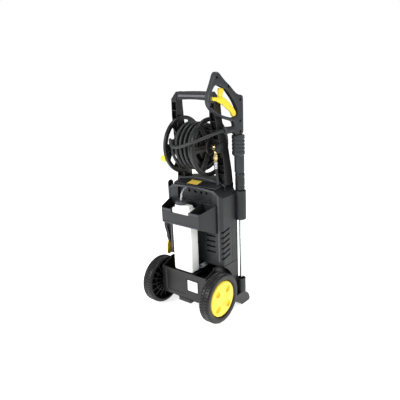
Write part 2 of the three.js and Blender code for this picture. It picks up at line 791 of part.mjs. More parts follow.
// ---------- gun ----------
// Outlines in the gun's own plane: across from the lance axis, and height above the floor.
const gunOutline = [
  [-113, 951], [-103, 946], [-77, 919], [-51, 899], [-26, 873], [-8, 864], [8, 862], [13, 855],
  [13, barrelTop + gap], [-inletStart, barrelTop + gap], [-inletStart, 766], [-82, 783], [-136, 812],
  [-154, 832], [-159, 851], [-154, 875], [-133, 919], [-123, 944],
];
const gunOpening = [
  [-114, 906], [-71, 888], [-35, 846], [-16, 813], [-17, 791], [-30, 781], [-62, 787], [-109, 803],
  [-138, 823], [-148, 849], [-144, 874], [-128, 901],
];
const triggerOutline = [
  [-135, 864], [-103, 861], [-84, 863], [-56, 844], [-36, 823], [-19, 802], [-20, 788], [-37, 785],
  [-42, 802], [-62, 817], [-87, 836], [-113, 848], [-136, 852],
];
const latchRoot = [[-99, 866], [-88, 864.8], [-83, 876], [-100, 876]];
const latchHead = [[-100, 874], [-84, 874], [-78, 888], [-87, 894], [-101, 891]];
const earOutline = [[-99, 858], [-89, 858], [-89, 871], [-92, 873], [-96, 873], [-99, 871]];

function gunHalfSolid(facing) {
  const near = facing * (gap / 2);
  const far = facing * gunHalfThickness;
  const plate = prism('y', gunOutline, Math.min(near, far), Math.max(near, far));
  const slotHalf = triggerHalfThickness + 1.5;
  const cavity = prism('y', inset(gunOutline, gunWall), -slotHalf, slotHalf);
  return cut(plate, [
    prism('y', gunOpening, -50, 50),
    cavity,
    rodY(pinRadius + gap, -50, 50, ...pivot),
  ]);
}

function triggerSolid() {
  const lever = prism('y', triggerOutline, -triggerHalfThickness, triggerHalfThickness);
  const ears = [
    prism('y', earOutline, -triggerHalfThickness, -earInner),
    prism('y', earOutline, earInner, triggerHalfThickness),
  ];
  const pins = [
    rodY(pinRadius, -gunHalfThickness, gunHalfThickness, ...pivot),
    rodY(latchPinRadius, -triggerHalfThickness, triggerHalfThickness, ...latchPivot, 12),
  ];
  return join([lever, ...ears, ...pins]);
}

function latchSolid() {
  const root = prism('y', latchRoot, gap - earInner, earInner - gap);
  const head = prism('y', latchHead, 1 - triggerHalfThickness, triggerHalfThickness - 1);
  return root.add(head).subtract(rodY(latchPinRadius + gap, -20, 20, ...latchPivot, 12));
}

function barrelSolid() {
  const shoulder = 640;
  const neck = disc(neckRadius, barrelBottom, shoulder, 24).translate([barrelOffset / 3, 0, 0]);
  const profile = [[0, shoulder - 6], [neckRadius + 0.5, shoulder - 6], [barrelRadius, shoulder + 2]];
  for (let z = shoulder + 12; z < barrelTop - 12; z += 14) {
    profile.push([barrelRadius, z], [barrelRadius - 1.6, z + 2]);
    profile.push([barrelRadius - 1.6, z + 5], [barrelRadius, z + 7]);
  }
  profile.push([barrelRadius, barrelTop - 3], [barrelRadius - 3, barrelTop], [0, barrelTop]);
  return neck.add(lathe(profile, 24).translate([barrelOffset, 0, 0]));
}

// The hose inlet: a tapered boss, a knurled nut and the hose's own stub, pointing away from the lance.
function inletSolid() {
  const start = inletStart + gap;
  const nut = inletEnd - 12;
  return lathe([
    [0, start], [inletRadius + 1, start], [inletRadius - 1, start + 8], [inletRadius - 1, nut],
    [inletRadius, nut], [inletRadius, inletEnd - 4], [9, inletEnd - 4], [9, inletEnd], [0, inletEnd],
  ], 20).rotate([0, -90, 0]).translate([0, 0, inletZ]);
}

function couplingSolid() {
  const bore = lanceRadius + gap;
  const top = barrelBottom - gap;
  return lathe([
    [bore, couplingBottom], [couplingRadius - 3, couplingBottom], [couplingRadius, couplingBottom + 6],
    [couplingRadius, top - 6], [couplingRadius - 3, top], [bore, top], [bore, couplingBottom],
  ], 24);
}

function sprayHeadSolid() {
  return lathe([
    [0, sprayHeadBottom], [sprayHeadRadius - 3, sprayHeadBottom], [sprayHeadRadius, sprayHeadBottom + 6],
    [sprayHeadRadius, 100], [8.5, 108], [8.5, 112], [0, 112],
  ], 20);
}

// The clip that holds the lance against the body's front corner.
function lanceClipSolid() {
  const clear = sprayHeadRadius + 1;
  return ring(clear, sleeveRadius, sleeveBottom, couplingBottom - gap, 32).translate([lanceX, lanceY, 0]);
}

function addGun(parent) {
  const gun = new THREE.Group();
  gun.position.set(lanceX, lanceY, 0);
  gun.rotation.z = THREE.MathUtils.degToRad(gunTurn);
  parent.add(gun);
  meshOf('gun_shell_rear', gunHalfSolid(-1), 'grey', gun);
  meshOf('gun_shell_front', gunHalfSolid(1), 'grey', gun);
  meshOf('trigger', triggerSolid(), 'yellow', gun);
  meshOf('safety_latch', latchSolid(), 'yellow', gun);
  meshOf('gun_inlet', inletSolid(), 'grey', gun);
  meshOf('barrel_grip', barrelSolid(), 'grey', gun);
  meshOf('lance_coupling', couplingSolid(), 'charcoal', gun);
  meshOf('lance_tube', disc(lanceRadius, 112 + gap, barrelBottom - gap, 24), 'steel', gun);
  meshOf('spray_head', sprayHeadSolid(), 'black', gun);
}

// ---------- inside ----------

function addInside(parent) {
  const drive = new THREE.Group();
  drive.position.set(motorX, motorY, 0);
  parent.add(drive);
  meshOf('motor_stator', ring(29, motorRadius, 262, 372), 'iron', drive);
  const rotor = join([disc(28, 275, 360), disc(7, 236, 392, 24)]);
  meshOf('motor_rotor', rotor, 'steel', drive);
  const blades = [ring(7 + gap, 18, 374, 388, 24)];
  for (let i = 0; i < 7; i += 1) {
    blades.push(box(16, 43, -1.5, 1.5, 375, 388).rotate([0, 0, (360 * i) / 7]));
  }
  meshOf('motor_fan', join(blades), 'charcoal', drive);
  const housing = lathe([
    [9, 244], [34, 244], [34, 180], [38, 180], [38, 250], [motorRadius, 250], [motorRadius, 262 - gap],
    [30, 262 - gap], [30, 256], [9, 256], [9, 244],
  ]);
  meshOf('gear_housing', housing, 'iron', drive);
  const plate = prism('x', [[-28, 214], [28, 226], [28, 233], [-28, 221]], -28, 28)
    .intersect(disc(27, 200, 240)).subtract(disc(7 + gap, 190, 250, 24));
  meshOf('wobble_plate', plate, 'steel', drive);
  const bores = [0, 1, 2].map((i) => {
    const angle = (2 * Math.PI * i) / 3;
    return [20 * Math.cos(angle), 20 * Math.sin(angle)];
  });
  const head = cut(disc(36, 120, 180 - gap), bores.map(([x, y]) => rodZ(6, 140, 190, x, y, 16)));
  meshOf('pump_head', head, 'brass', drive);
  meshOf('capacitor', rodZ(17, 300, 372, 74, 100, 24), 'white', parent);
  const switchFront = bodyFrontY - wall - gap;
  const switchBlock = box(switchX - 22, switchX + 22, 122, switchFront, switchZ - 24, switchZ + 24)
    .subtract(rodY(switchShaft + gap, 126, 200, switchX, switchZ));
  meshOf('switch_box', switchBlock, 'black', parent);
  const knob = join([
    rodY(switchShaft, 128, bodyFrontY + 2, switchX, switchZ),
    rodY(21, bodyFrontY + gap, bodyFrontY + 12, switchX, switchZ, 32),
    box(switchX - 4, switchX + 4, bodyFrontY + 10, bodyFrontY + 24, switchZ - 19, switchZ + 19),
  ]);
  meshOf('power_switch', knob, 'yellow', parent);
  const inlet = ring(5, 9, 0, 42, 24).rotate([90, 0, 0]).translate([42, 70, 194]);
  meshOf('water_inlet', inlet, 'clear', parent);
}

// ---------- hose between the reel and the gun ----------
const turned = THREE.MathUtils.degToRad(gunTurn);
const hoseReach = inletEnd + gap;
const inletTip = [lanceX - hoseReach * Math.cos(turned), lanceY - hoseReach * Math.sin(turned), inletZ];
const leadReach = hoseReach + 16;
const inletLead = [lanceX - leadReach * Math.cos(turned), lanceY - leadReach * Math.sin(turned), inletZ];
const leave = THREE.MathUtils.degToRad(22);
const layRadius = coilRadius + gap + hoseDiameter / 2;
const strandRoute = [
  [-51, reelY - layRadius * Math.cos(leave), reelZ + layRadius * Math.sin(leave)],
  [-44, -17, 697], [-30, -28, 689], [-8, -36, 686], [22, -40, 690], [60, -38, 702], [96, -14, 717],
  [119, 32, 731], inletLead, inletTip,
];

// ---------- assembly ----------
function addReel(parent) {
  const reel = new THREE.Group();
  reel.position.set(0, reelY, reelZ);
  parent.add(reel);
  const left = -postInner - postWidth - 6;
  meshOf('reel_flange_left', flangeSolid(flangeLeft), 'black', reel);
  meshOf('reel_flange_right', flangeSolid(flangeRight), 'black', reel);
  const drumSpan = [flangeLeft + rimWidth / 2 + gap, flangeRight - rimWidth / 2 - gap];
  meshOf('reel_drum', ring(shaftRadius + gap, drumRadius, ...drumSpan, 32).rotate([0, 90, 0]), 'black', reel);
  meshOf('reel_shaft', shaftSolid(left + gap, postInner + postWidth - 2), 'grey', reel);
  meshOf('crank_arm', crankSolid(left), 'black', reel);
  meshOf('crank_knob', knobSolid(left - crankThickness - gap), 'yellow', reel);
  const coil = latheX([
    [coilInner, drumLeft + 3], [coilRadius, drumLeft + 3], [coilRadius, drumRight - 3],
    [coilInner, drumRight - 3], [coilInner, drumLeft + 3],
  ], 40);
  meshOf('hose_coil', coil, 'rubber', reel);
}

function addSwivel(parent) {
  const x = postInner + 6;
  const ringX = ring(shaftRadius + gap, swivelRadius, x - 9, x + 9, 24)
    .rotate([0, 90, 0]).translate([0, reelY, reelZ]);
  const stem = rodZ(8, reelZ - 52, reelZ - shaftRadius - 2, x, reelY - 4, 20);
  const nut = rodZ(9.5, reelZ - 44, reelZ - 28, x, reelY - 4, 6);
  const bore = rodX(shaftRadius + gap, 0, 200, reelY, reelZ, 24);
  meshOf('swivel_fitting', cut(join([ringX, stem, nut]), [bore]), 'brass', parent);
  const route = [
    [x, reelY - 4, reelZ - 52 - gap], [x, reelY - 4, reelZ - 62], [x + 3, reelY - 4, 580],
    [x + 6, reelY - 2, 548],
    [x + 6, reelY - 1, 538], [x + 6, reelY - 1, 528],
  ];
  meshOf('feed_hose', tube(route, 5.5, 12), 'rubber', parent);
}

function build() {
  const all = new THREE.Group();
  addWheel(all, -1);
  addWheel(all, 1);
  const axleEnd = wheelCentreX + wheelDish - 1;
  meshOf('axle', rodX(axleRadius, -axleEnd, axleEnd, 0, wheelRadius), 'steel', all);
  meshOf('base_chassis', chassisSolid(), 'black', all);
  meshOf('rating_plate', box(20, 72, chassisRearY + 0.2, chassisRearY + 0.9, 106, 153), 'white', all);
  meshOf('left_foot', footSolid(-1), 'black', all);
  meshOf('right_foot', footSolid(1), 'black', all);
  meshOf('lance_cup', cupSolid(), 'charcoal', all);
  meshOf('rear_shell', rearShellSolid(), 'charcoal', all);
  meshOf('front_shell', frontShellSolid(), 'black', all);
  meshOf('deck_cover', deckSolid(), 'charcoal', all);
  meshOf('left_post', postSolid(-1), 'black', all);
  meshOf('right_post', postSolid(1), 'black', all);
  meshOf('handle_grip', gripSolid(), 'black', all);
  meshOf('grip_strip', gripStripSolid(), 'grey', all);
  meshOf('detergent_tray', traySolid(), 'charcoal', all);
  meshOf('detergent_bottle', bottleSolid(), 'white', all);
  meshOf('bottle_cap', bottleCapSolid(), 'clear', all);
  meshOf('suction_tube', tube(suctionRoute, suctionRadius, 16), 'clear', all);
  meshOf('deck_label', deckLabelSolid(), 'yellow', all);
  meshOf('lance_clip', lanceClipSolid(), 'charcoal', all);
  meshOf('reel_bush_left', bushSolid(-postInner - postWidth, -postInner - postWidth + 14), 'grey', all);
  meshOf('reel_bush_right', bushSolid(postInner + postWidth - 14, postInner + postWidth), 'grey', all);
  meshOf('cord_hook_upper', hookSolid(hookArmTopZ, upperPlate), 'black', all);
  meshOf('cord_hook_lower', hookSolid(hookArmLowZ, lowerPlate), 'yellow', all);
  meshOf('cord_gland', glandSolid(), 'black', all);
  meshOf('cord_lead', tube(cordRoute, cordDiameter / 2, 12), 'rubber', all);
  meshOf('cord_hank', hankSolid(), 'rubber', all);
  meshOf('plug', plugSolid(), 'rubber', all);
  meshOf('hose_strand', tube(strandRoute, hoseDiameter / 2, 20), 'rubber', all);
  addReel(all);
  addSwivel(all);
  addGun(all);
  addInside(all);
  return all;
}

const object = build();
const originY = (footFrontY - wheelRadius) / 2;
object.position.set(0, -originY, 0);
const part = new THREE.Group();
part.add(object);

export default part;
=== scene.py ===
"""Finished looks of an upright electric pressure washer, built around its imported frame.

Every size in the making functions is in millimetres in the maker's datum: x = 0 on the centre plane,
y = 0 on the axle and z = 0 on the floor. place() turns those into metres in the frame.
"""
import math

import bmesh
import bpy
import numpy as np
from mathutils import Matrix, Vector
from mathutils.geometry import delaunay_2d_cdt


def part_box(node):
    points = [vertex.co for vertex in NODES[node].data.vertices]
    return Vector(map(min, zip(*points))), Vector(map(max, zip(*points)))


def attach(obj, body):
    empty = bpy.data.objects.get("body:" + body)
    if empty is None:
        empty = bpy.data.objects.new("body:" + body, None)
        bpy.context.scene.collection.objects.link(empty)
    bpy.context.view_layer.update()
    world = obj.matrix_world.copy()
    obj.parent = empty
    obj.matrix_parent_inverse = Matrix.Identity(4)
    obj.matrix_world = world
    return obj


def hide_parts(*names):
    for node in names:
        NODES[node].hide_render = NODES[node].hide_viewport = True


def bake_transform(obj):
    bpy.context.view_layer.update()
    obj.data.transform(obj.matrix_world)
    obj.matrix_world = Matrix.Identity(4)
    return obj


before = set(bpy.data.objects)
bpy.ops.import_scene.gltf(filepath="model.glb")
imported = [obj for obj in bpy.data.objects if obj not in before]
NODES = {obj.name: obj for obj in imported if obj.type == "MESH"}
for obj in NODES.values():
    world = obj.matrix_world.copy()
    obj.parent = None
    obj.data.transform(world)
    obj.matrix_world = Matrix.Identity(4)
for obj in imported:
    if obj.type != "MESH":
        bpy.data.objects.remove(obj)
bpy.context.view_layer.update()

bl_info = {
    "name": "Pressure Washer",
    "version": (1, 0, 0),
    "blender": (4, 5, 0),
    "location": "View3D > Sidebar > Washer",
    "description": "Builds an upright pressure washer with its reel, gun, lance and detergent bottle",
    "category": "Add Mesh",
}

MM = 0.001
DATUM_Y = 56.0              # the frame's origin is this far in front of the axle

WHEEL_X = 150.5
AXLE_Z = 100.0
REEL_Y = 84.0
REEL_Z = 673.0
LANCE_X = 146.0
LANCE_Y = 163.0
GUN_TURN = math.radians(79)
FLANGE_X = (-68.0, 65.0)
CRANK_KNOB = (-32.0, -60.0)  # from the reel's axis
HANK_X = -149.0
HANK_TURNS = 5               # in each of the hank's two layers
HANK_FOLD = 3                # innermost bend radius, in cord diameters
HANK_SLACK = 11.0            # how far the loose outer turns bow off the rest
HOOK_Y = 105.0
HOOK_LOW_Z = 284.0
HOOK_TOP_Z = 385.0
GLAND_Y = 143.0
GLAND_Z = 470.0
PLUG_Y = 178.5
PLUG_TOP = 338.0
HOSE_LAYERS = (62.4, 74.6, 87.4)     # radii of the wound hose's three layers
HOSE_SPAN = (-50.5, 47.5)            # where a layer turns back, along x
HOSE_LEAVES = math.radians(22)       # where the strand leaves the reel, above the level of the shaft
OUTER_TURNS = 4.5                    # in the outer, part-filled layer
COIL_RADIUS = 94.0                   # over the outer layer
POCKET_REACH = (41, 50)              # a hub pocket's two centres, from the axle
POCKET_HALF_WIDTH = 11.5
POCKET_DEPTH = 7.6
BOTTLE_HALF = 46.7
BOTTLE_FRONT = -32.2
BOTTLE_BACK = 16.7
BOTTLE_SQUARENESS = 0.24             # power of the plan's superellipse: 1 is an ellipse, 0 a rectangle


def linear(code):
    """The linear colour of an sRGB hex code: c/12.92 below 0.04045, else ((c + 0.055) / 1.055) ** 2.4."""
    srgb = np.array([int(code[i:i + 2], 16) for i in (1, 3, 5)]) / 255
    values = np.where(srgb <= 0.04045, srgb / 12.92, ((srgb + 0.055) / 1.055) ** 2.4)
    return tuple(float(v) for v in values)


# ---------------------------------------------------------------- settings

def colour_property(name, description, code):
    """A colour setting whose default is a hex code."""
    return bpy.props.FloatVectorProperty(
        name=name, description=description, subtype="COLOR", size=3, min=0, max=1, default=linear(code))


def length_property(name, description, millimetres):
    """A length setting whose default is in millimetres."""
    return bpy.props.FloatProperty(
        name=name, description=description, subtype="DISTANCE", unit="LENGTH", min=0, precision=4,
        default=millimetres * MM)


class WasherColours(bpy.types.PropertyGroup):
    """Colours of the finishes."""
    black: colour_property("Black plastic", "Chassis, posts, reel and cord hooks", "#141415")
    charcoal: colour_property("Charcoal plastic", "Body shells, deck, tray and wheels", "#202123")
    grey: colour_property("Grey plastic", "Gun and grip", "#2C2D31")
    yellow: colour_property("Yellow plastic", "Trigger, knob, hub caps and lower cord hook", "#FFE136")
    bottle: colour_property("Bottle", "Milky polyethylene", "#F7F7F4")
    hose: colour_property("Hose", "Rubber cover of the pressure hose", "#1E1F20")


class WasherSizes(bpy.types.PropertyGroup):
    """Sizes of the pieces that have no solid of their own in the frame."""
    hose_diameter: length_property("Hose diameter", "Outside diameter of the pressure hose", 12)
    cord_diameter: length_property("Cord diameter", "Outside diameter of the mains cord", 8)
    tread_depth: length_property("Tread depth", "Depth of the grooves in the wheels", 2.8)
    inner_turns: bpy.props.IntProperty(
        name="Inner turns", description="Turns in each inner layer of the wound hose", min=1, default=8)
    tread_blocks: bpy.props.IntProperty(
        name="Tread grooves", description="Cross grooves round a wheel", min=12, default=52)


def colours():
    return bpy.context.scene.washer_colours


def sizes():
    return bpy.context.scene.washer_sizes


# ---------------------------------------------------------------- surfaces

def place(points):
    """Millimetres in the maker's datum to metres in the frame: (x, y - DATUM_Y, z) / 1000."""
    return (np.asarray(points, float) - (0.0, DATUM_Y, 0.0)) * MM


def angles(count):
    """Even angles once round, from 0 up to a step short of a full turn."""
    return np.linspace(0, 2 * np.pi, count, endpoint=False)


def paired(a, b):
    """Two arrays stretched to one shape and laid side by side along a new last axis."""
    return np.stack(np.broadcast_arrays(a, b), -1)


def grid(rings, loop=False):
    """Quads between neighbouring rings of a (rings, points, 3) array; open ends close on their middle."""
    count, around = rings.shape[:2]
    rows = np.arange(count if loop else count - 1)[:, None]
    columns = np.arange(around)[None, :]
    after = (columns + 1) % around
    below = (rows + 1) % count
    corners = (
        rows * around + columns, rows * around + after, below * around + after, below * around + columns)
    faces = np.stack(np.broadcast_arrays(*corners), -1).reshape(-1, 4).tolist()
    points = rings.reshape(-1, 3)
    if not loop:
        last = (count - 1) * around
        turn = np.arange(around)
        points = np.vstack([points, rings[0].mean(0), rings[-1].mean(0)])
        low = np.stack([np.full(around, len(points) - 2), (turn + 1) % around, turn], -1)
        high = np.stack([np.full(around, len(points) - 1), last + turn, last + (turn + 1) % around], -1)
        faces += low.tolist() + high.tolist()
    return points, faces


def rounded(points, radius, steps=5, closed=True):
    """A line with round corners: each corner becomes (1-t)^2 a + 2t(1-t) corner + t^2 b, where a and b lie
    on its two sides, a radius from it or 45 % of the side where that is less."""
    corner = np.asarray(points, float)
    before, after = np.roll(corner, 1, 0) - corner, np.roll(corner, -1, 0) - corner
    reach = [np.minimum(radius / np.maximum(np.linalg.norm(side, axis=1), 1e-9), 0.45)[:, None]
             for side in (before, after)]
    t = np.linspace(0, 1, steps)[None, :, None]
    a = (corner + before * reach[0])[:, None]
    b = (corner + after * reach[1])[:, None]
    curve = (1 - t) ** 2 * a + 2 * t * (1 - t) * corner[:, None] + t ** 2 * b
    if closed:
        return curve.reshape(-1, corner.shape[1])
    return np.vstack([corner[:1], curve[1:-1].reshape(-1, corner.shape[1]), corner[-1:]])


def spaced(points, step, closed=False):
    """The same line with points at equal distances along it."""
    line = np.vstack([points, points[:1]]) if closed else np.asarray(points, float)
    run = np.concatenate([[0], np.cumsum(np.linalg.norm(np.diff(line, axis=0), axis=1))])
    count = max(int(round(run[-1] / step)), 2)
    at = np.linspace(0, run[-1], count + 1)[: count if closed else None]
    return np.stack([np.interp(at, run, line[:, i]) for i in range(line.shape[1])], -1)


def spline(points, step):
    """A smooth line through points, spaced evenly: between b and c, with a before and d after, it is the
    cubic (2b + (c-a)t + (2a-5b+4c-d)t^2 + (3b-a-3c+d)t^3) / 2."""
    p = np.asarray(points, float)
    p = np.vstack([2 * p[0] - p[1], p, 2 * p[-1] - p[-2]])
    a, b, c, d = (p[i:len(p) - 3 + i, None] for i in range(4))
    t = np.linspace(0, 1, 24, endpoint=False)[None, :, None]
    curve = (2 * b + (c - a) * t + (2 * a - 5 * b + 4 * c - d) * t ** 2
             + (3 * b - a - 3 * c + d) * t ** 3) / 2
    return spaced(np.vstack([curve.reshape(-1, 3), p[-2:-1]]), step)


def turned(profile, segments, axis=(0, 0, 1), centre=(0, 0, 0)):
    """A profile of (radius, height) pairs carried round an axis: centre + r cos(t) a + r sin(t) b + h c.
    The profile may differ from one angle to the next, as a (points, segments, 2) array."""
    c = np.asarray(axis, float)
    a = np.roll(np.abs(c), 1)
    b = np.cross(c, a)
    shape = np.asarray(profile, float)
    if shape.ndim == 2:
        shape = shape[:, None]
    t = angles(segments)[None, :, None]
    r, h = shape[..., :1], shape[..., 1:]
    return np.asarray(centre, float) + r * np.cos(t) * a + r * np.sin(t) * b + h * c


def lathe(profile, axis=(0, 0, 1), centre=(0, 0, 0), radius=1.5, segments=64):
    """A turned solid with round corners; its profile starts and ends on the axis, or closes on itself."""
    loop = min(profile[0][0], profile[-1][0]) > 0
    outline = rounded(profile, radius, closed=loop)
    return grid(turned(outline, segments, axis, centre), loop)


def knurled(profile, past, depth, ridges, segments):
    """A turned profile with ridges along it wherever its radius is past a limit: there the radius is
    r - depth * (1 + cos(ridges * angle)) / 2."""
    waves = 0.5 + 0.5 * np.cos(ridges * angles(segments)[None])
    return paired(profile[:, :1] - (profile[:, :1] > past) * depth * waves, profile[:, 1:])


def carried(path, section, reference):
    """A closed section carried along a line: p + u n + v b, with n square to the line and to a reference
    direction, and b square to both. section is (points, 2), or (stations, points, 2) where it changes."""
    line = np.asarray(path, float)
    tangent = np.gradient(line, axis=0)
    tangent /= np.linalg.norm(tangent, axis=1)[:, None]
    normal = np.cross(tangent, reference)
    normal /= np.linalg.norm(normal, axis=1)[:, None]
    across = np.cross(tangent, normal)
    shape = np.asarray(section, float)
    if shape.ndim == 2:
        shape = np.broadcast_to(shape, (len(line), *shape.shape))
    return line[:, None] + shape[..., :1] * normal[:, None] + shape[..., 1:] * across[:, None]


def circle(radius, points=20):
    """Points round a circle: (r cos t, r sin t)."""
    t = angles(points)
    return radius * np.stack([np.cos(t), np.sin(t)], -1)


def inside(points, loops):
    """Whether each point has an odd number of loop sides to its right: the even-odd rule."""
    a = np.vstack(loops)
    b = np.vstack([np.roll(loop, -1, 0) for loop in loops])
    x, y = points[:, :1], points[:, 1:]
    spans = (a[:, 1] > y) != (b[:, 1] > y)
    rise = np.where(spans, b[:, 1] - a[:, 1], 1.0)
    crossing = a[:, 0] + (y - a[:, 1]) / rise * (b[:, 0] - a[:, 0])
    return (spans & (x < crossing)).sum(1) % 2 == 1


def slab(outline, low, high, edges=(1.0, 1.0), holes=(), corner=2.0, step=None):
    """A flat piece with round edges. Each loop, turned to have the material on its left, is drawn in by
    e (1 - sin a) at depth e (1 - cos a) from a face, for its edge radius e; the faces are filled between the
    drawn-in loops. Returns points (u, v, w) and faces."""
    points, faces, start = [], [], 0
    caps = ([], [])
    for order, loop in enumerate((outline, *holes)):
        line = rounded(loop, corner) if corner else np.asarray(loop, float)
        if step:
            line = spaced(line, step, closed=True)
        line = line[np.linalg.norm(line - np.roll(line, 1, 0), axis=1) > 1e-6]
        ahead = np.roll(line, -1, 0)
        area = np.sum(line[:, 0] * ahead[:, 1] - ahead[:, 0] * line[:, 1])
        if (area > 0) != (order == 0):
            line = line[::-1]
        side = np.roll(line, -1, 0) - np.roll(line, 1, 0)
        side /= np.linalg.norm(side, axis=1)[:, None]
        inward = np.stack([-side[:, 1], side[:, 0]], -1)
        a = np.linspace(0, np.pi / 2, 5)
        offsets = np.concatenate([edges[0] * (1 - np.sin(a)), (edges[1] * (1 - np.sin(a)))[::-1]])
        depths = np.concatenate([
            low + edges[0] * (1 - np.cos(a)), (high - edges[1] * (1 - np.cos(a)))[::-1]])
        flat = line[None] + inward[None] * offsets[:, None, None]
        rings = np.concatenate([flat, np.broadcast_to(depths[:, None, None], (*flat.shape[:2], 1))], -1)
        body, sides = grid(rings)
        body = body[:-2]        # without the two middle points, and so without the fans that meet there
        points.append(body)
        faces += [[i + start for i in f] for f in sides if len(f) == 4]
        start += len(body)
        caps[0].append(flat[0])
        caps[1].append(flat[-1])
    for loops, depth in ((caps[0], low), (caps[1], high)):
        flat = np.vstack(loops)
        ends = np.cumsum([0] + [len(loop) for loop in loops])
        sides = [(int(first + i), int(first + (i + 1) % (last - first)))
                 for first, last in zip(ends, ends[1:]) for i in range(last - first)]
        verts, _, tris, _, _, _ = delaunay_2d_cdt([tuple(p) for p in flat.tolist()], sides, [], 0, 1e-7)
        cap = np.array([tuple(v) for v in verts])
        tris = np.array(tris)
        tris = tris[inside(cap[tris].mean(1), loops)].tolist()
        points.append(np.concatenate([cap, np.full((len(cap), 1), depth)], -1))
        faces += [[i + start for i in t] for t in tris]
        start += len(cap)
    return np.vstack(points), faces


def aimed(part, u, v, w, origin=(0, 0, 0)):
    """A part whose points (u, v, w) are laid along three directions from an origin."""
    points, faces = part
    return np.asarray(origin, float) + points @ np.array([u, v, w], float), faces


def in_side_plane(part, origin=(0, 0, 0)):
    """A part drawn in (y, z), with its thickness along x."""
    return aimed(part, (0, 1, 0), (0, 0, 1), (1, 0, 0), origin)


def on_front_plane(part, y):
    """A part drawn in (x, z) that rises forwards, towards -y, from the plane at y."""
    return aimed(part, (1, 0, 0), (0, 0, 1), (0, -1, 0), (0, y, 0))


def spun(part, angle, axis, centre):
    """A part turned about an axis through a centre."""
    points, faces = part
    turn = np.array(Matrix.Rotation(angle, 3, axis))
    return (points - centre) @ turn.T + centre, faces


def piece(name, parts, material, body, replaces=(), crease=40, uv=None):
    """One object from closed parts, in the frame's metres, with its faces outward and welded."""
    points = np.vstack([p for p, _ in parts])
    starts = np.cumsum([0] + [len(p) for p, _ in parts])
    faces = [[i + s for i in f] for (_, fs), s in zip(parts, starts) for f in fs]
    mesh = bpy.data.meshes.new(name)
    mesh.from_pydata(place(points).tolist(), [], faces)
    if uv is not None:
        layer = mesh.uv_layers.new(name="UVMap")
        corner = np.zeros(len(mesh.loops), np.int32)
        mesh.loops.foreach_get("vertex_index", corner)
        layer.data.foreach_set("uv", uv[corner].astype(np.float32).ravel())
    work = bmesh.new()
    work.from_mesh(mesh)
    bmesh.ops.remove_doubles(work, verts=work.verts, dist=2e-6)
    bmesh.ops.dissolve_degenerate(work, edges=work.edges, dist=1e-7)
    bmesh.ops.recalc_face_normals(work, faces=work.faces)
    work.to_mesh(mesh)
    work.free()
    mesh.shade_smooth()
    mesh.set_sharp_from_angle(angle=math.radians(crease))
    thing = bpy.data.objects.new(name, mesh)
    bpy.context.scene.collection.objects.link(thing)
    mesh.materials.append(material)
    if body:
        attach(thing, body)
    if replaces:
        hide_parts(*replaces)
    return thing


def soften(name, material, edge):
    """A solid of the frame with its own edges rounded. Its points stay, its stored normals go and its faces
    are set smooth; modifiers then join flat neighbours and round each edge by a radius in millimetres."""
    thing = NODES[name]
    mesh = thing.data
    if "custom_normal" in mesh.attributes:
        mesh.attributes.remove(mesh.attributes["custom_normal"])
    for material_slot in thing.material_slots:
        material_slot.material = material
    weld = thing.modifiers.new("Weld", "WELD")
    weld.merge_threshold = 2e-6
    flat = thing.modifiers.new("Join flats", "DECIMATE")
    flat.decimate_type = "DISSOLVE"
    flat.angle_limit = math.radians(0.5)
    bevel = thing.modifiers.new("Moulded edge", "BEVEL")
    bevel.width = edge * MM
    bevel.segments = 3
    bevel.limit_method = "ANGLE"
    bevel.angle_limit = math.radians(30)
    bevel.use_clamp_overlap = False
    mesh.shade_smooth()
    weighted = thing.modifiers.new("Flat faces lead", "WEIGHTED_NORMAL")
    weighted.weight = 100
    weighted.keep_sharp = True


# ---------------------------------------------------------------- materials

def node(tree, kind, settings=None, **inputs):
    """Adds a node. settings are its own properties; inputs are values or sockets, by input name."""
    made = tree.nodes.new("ShaderNode" + kind)
    for key, value in (settings or {}).items():
        setattr(made, key, value)
    for key, value in inputs.items():
        socket = made.inputs[int(key[1:])] if key[0] == "_" else made.inputs[key.replace("_", " ")]
        if isinstance(value, bpy.types.NodeSocket):
            tree.links.new(value, socket)
        else:
            socket.default_value = value
    return made


def blank(name):
    """A material with only its surface shader and output, and its object coordinates."""
    material = bpy.data.materials.new(name)
    material.use_nodes = True
    tree = material.node_tree
    tree.nodes.clear()
    shader = node(tree, "BsdfPrincipled")
    output = node(tree, "OutputMaterial")
    tree.links.new(shader.outputs[0], output.inputs[0])
    coordinates = node(tree, "TexCoord")
    return material, tree, shader, coordinates


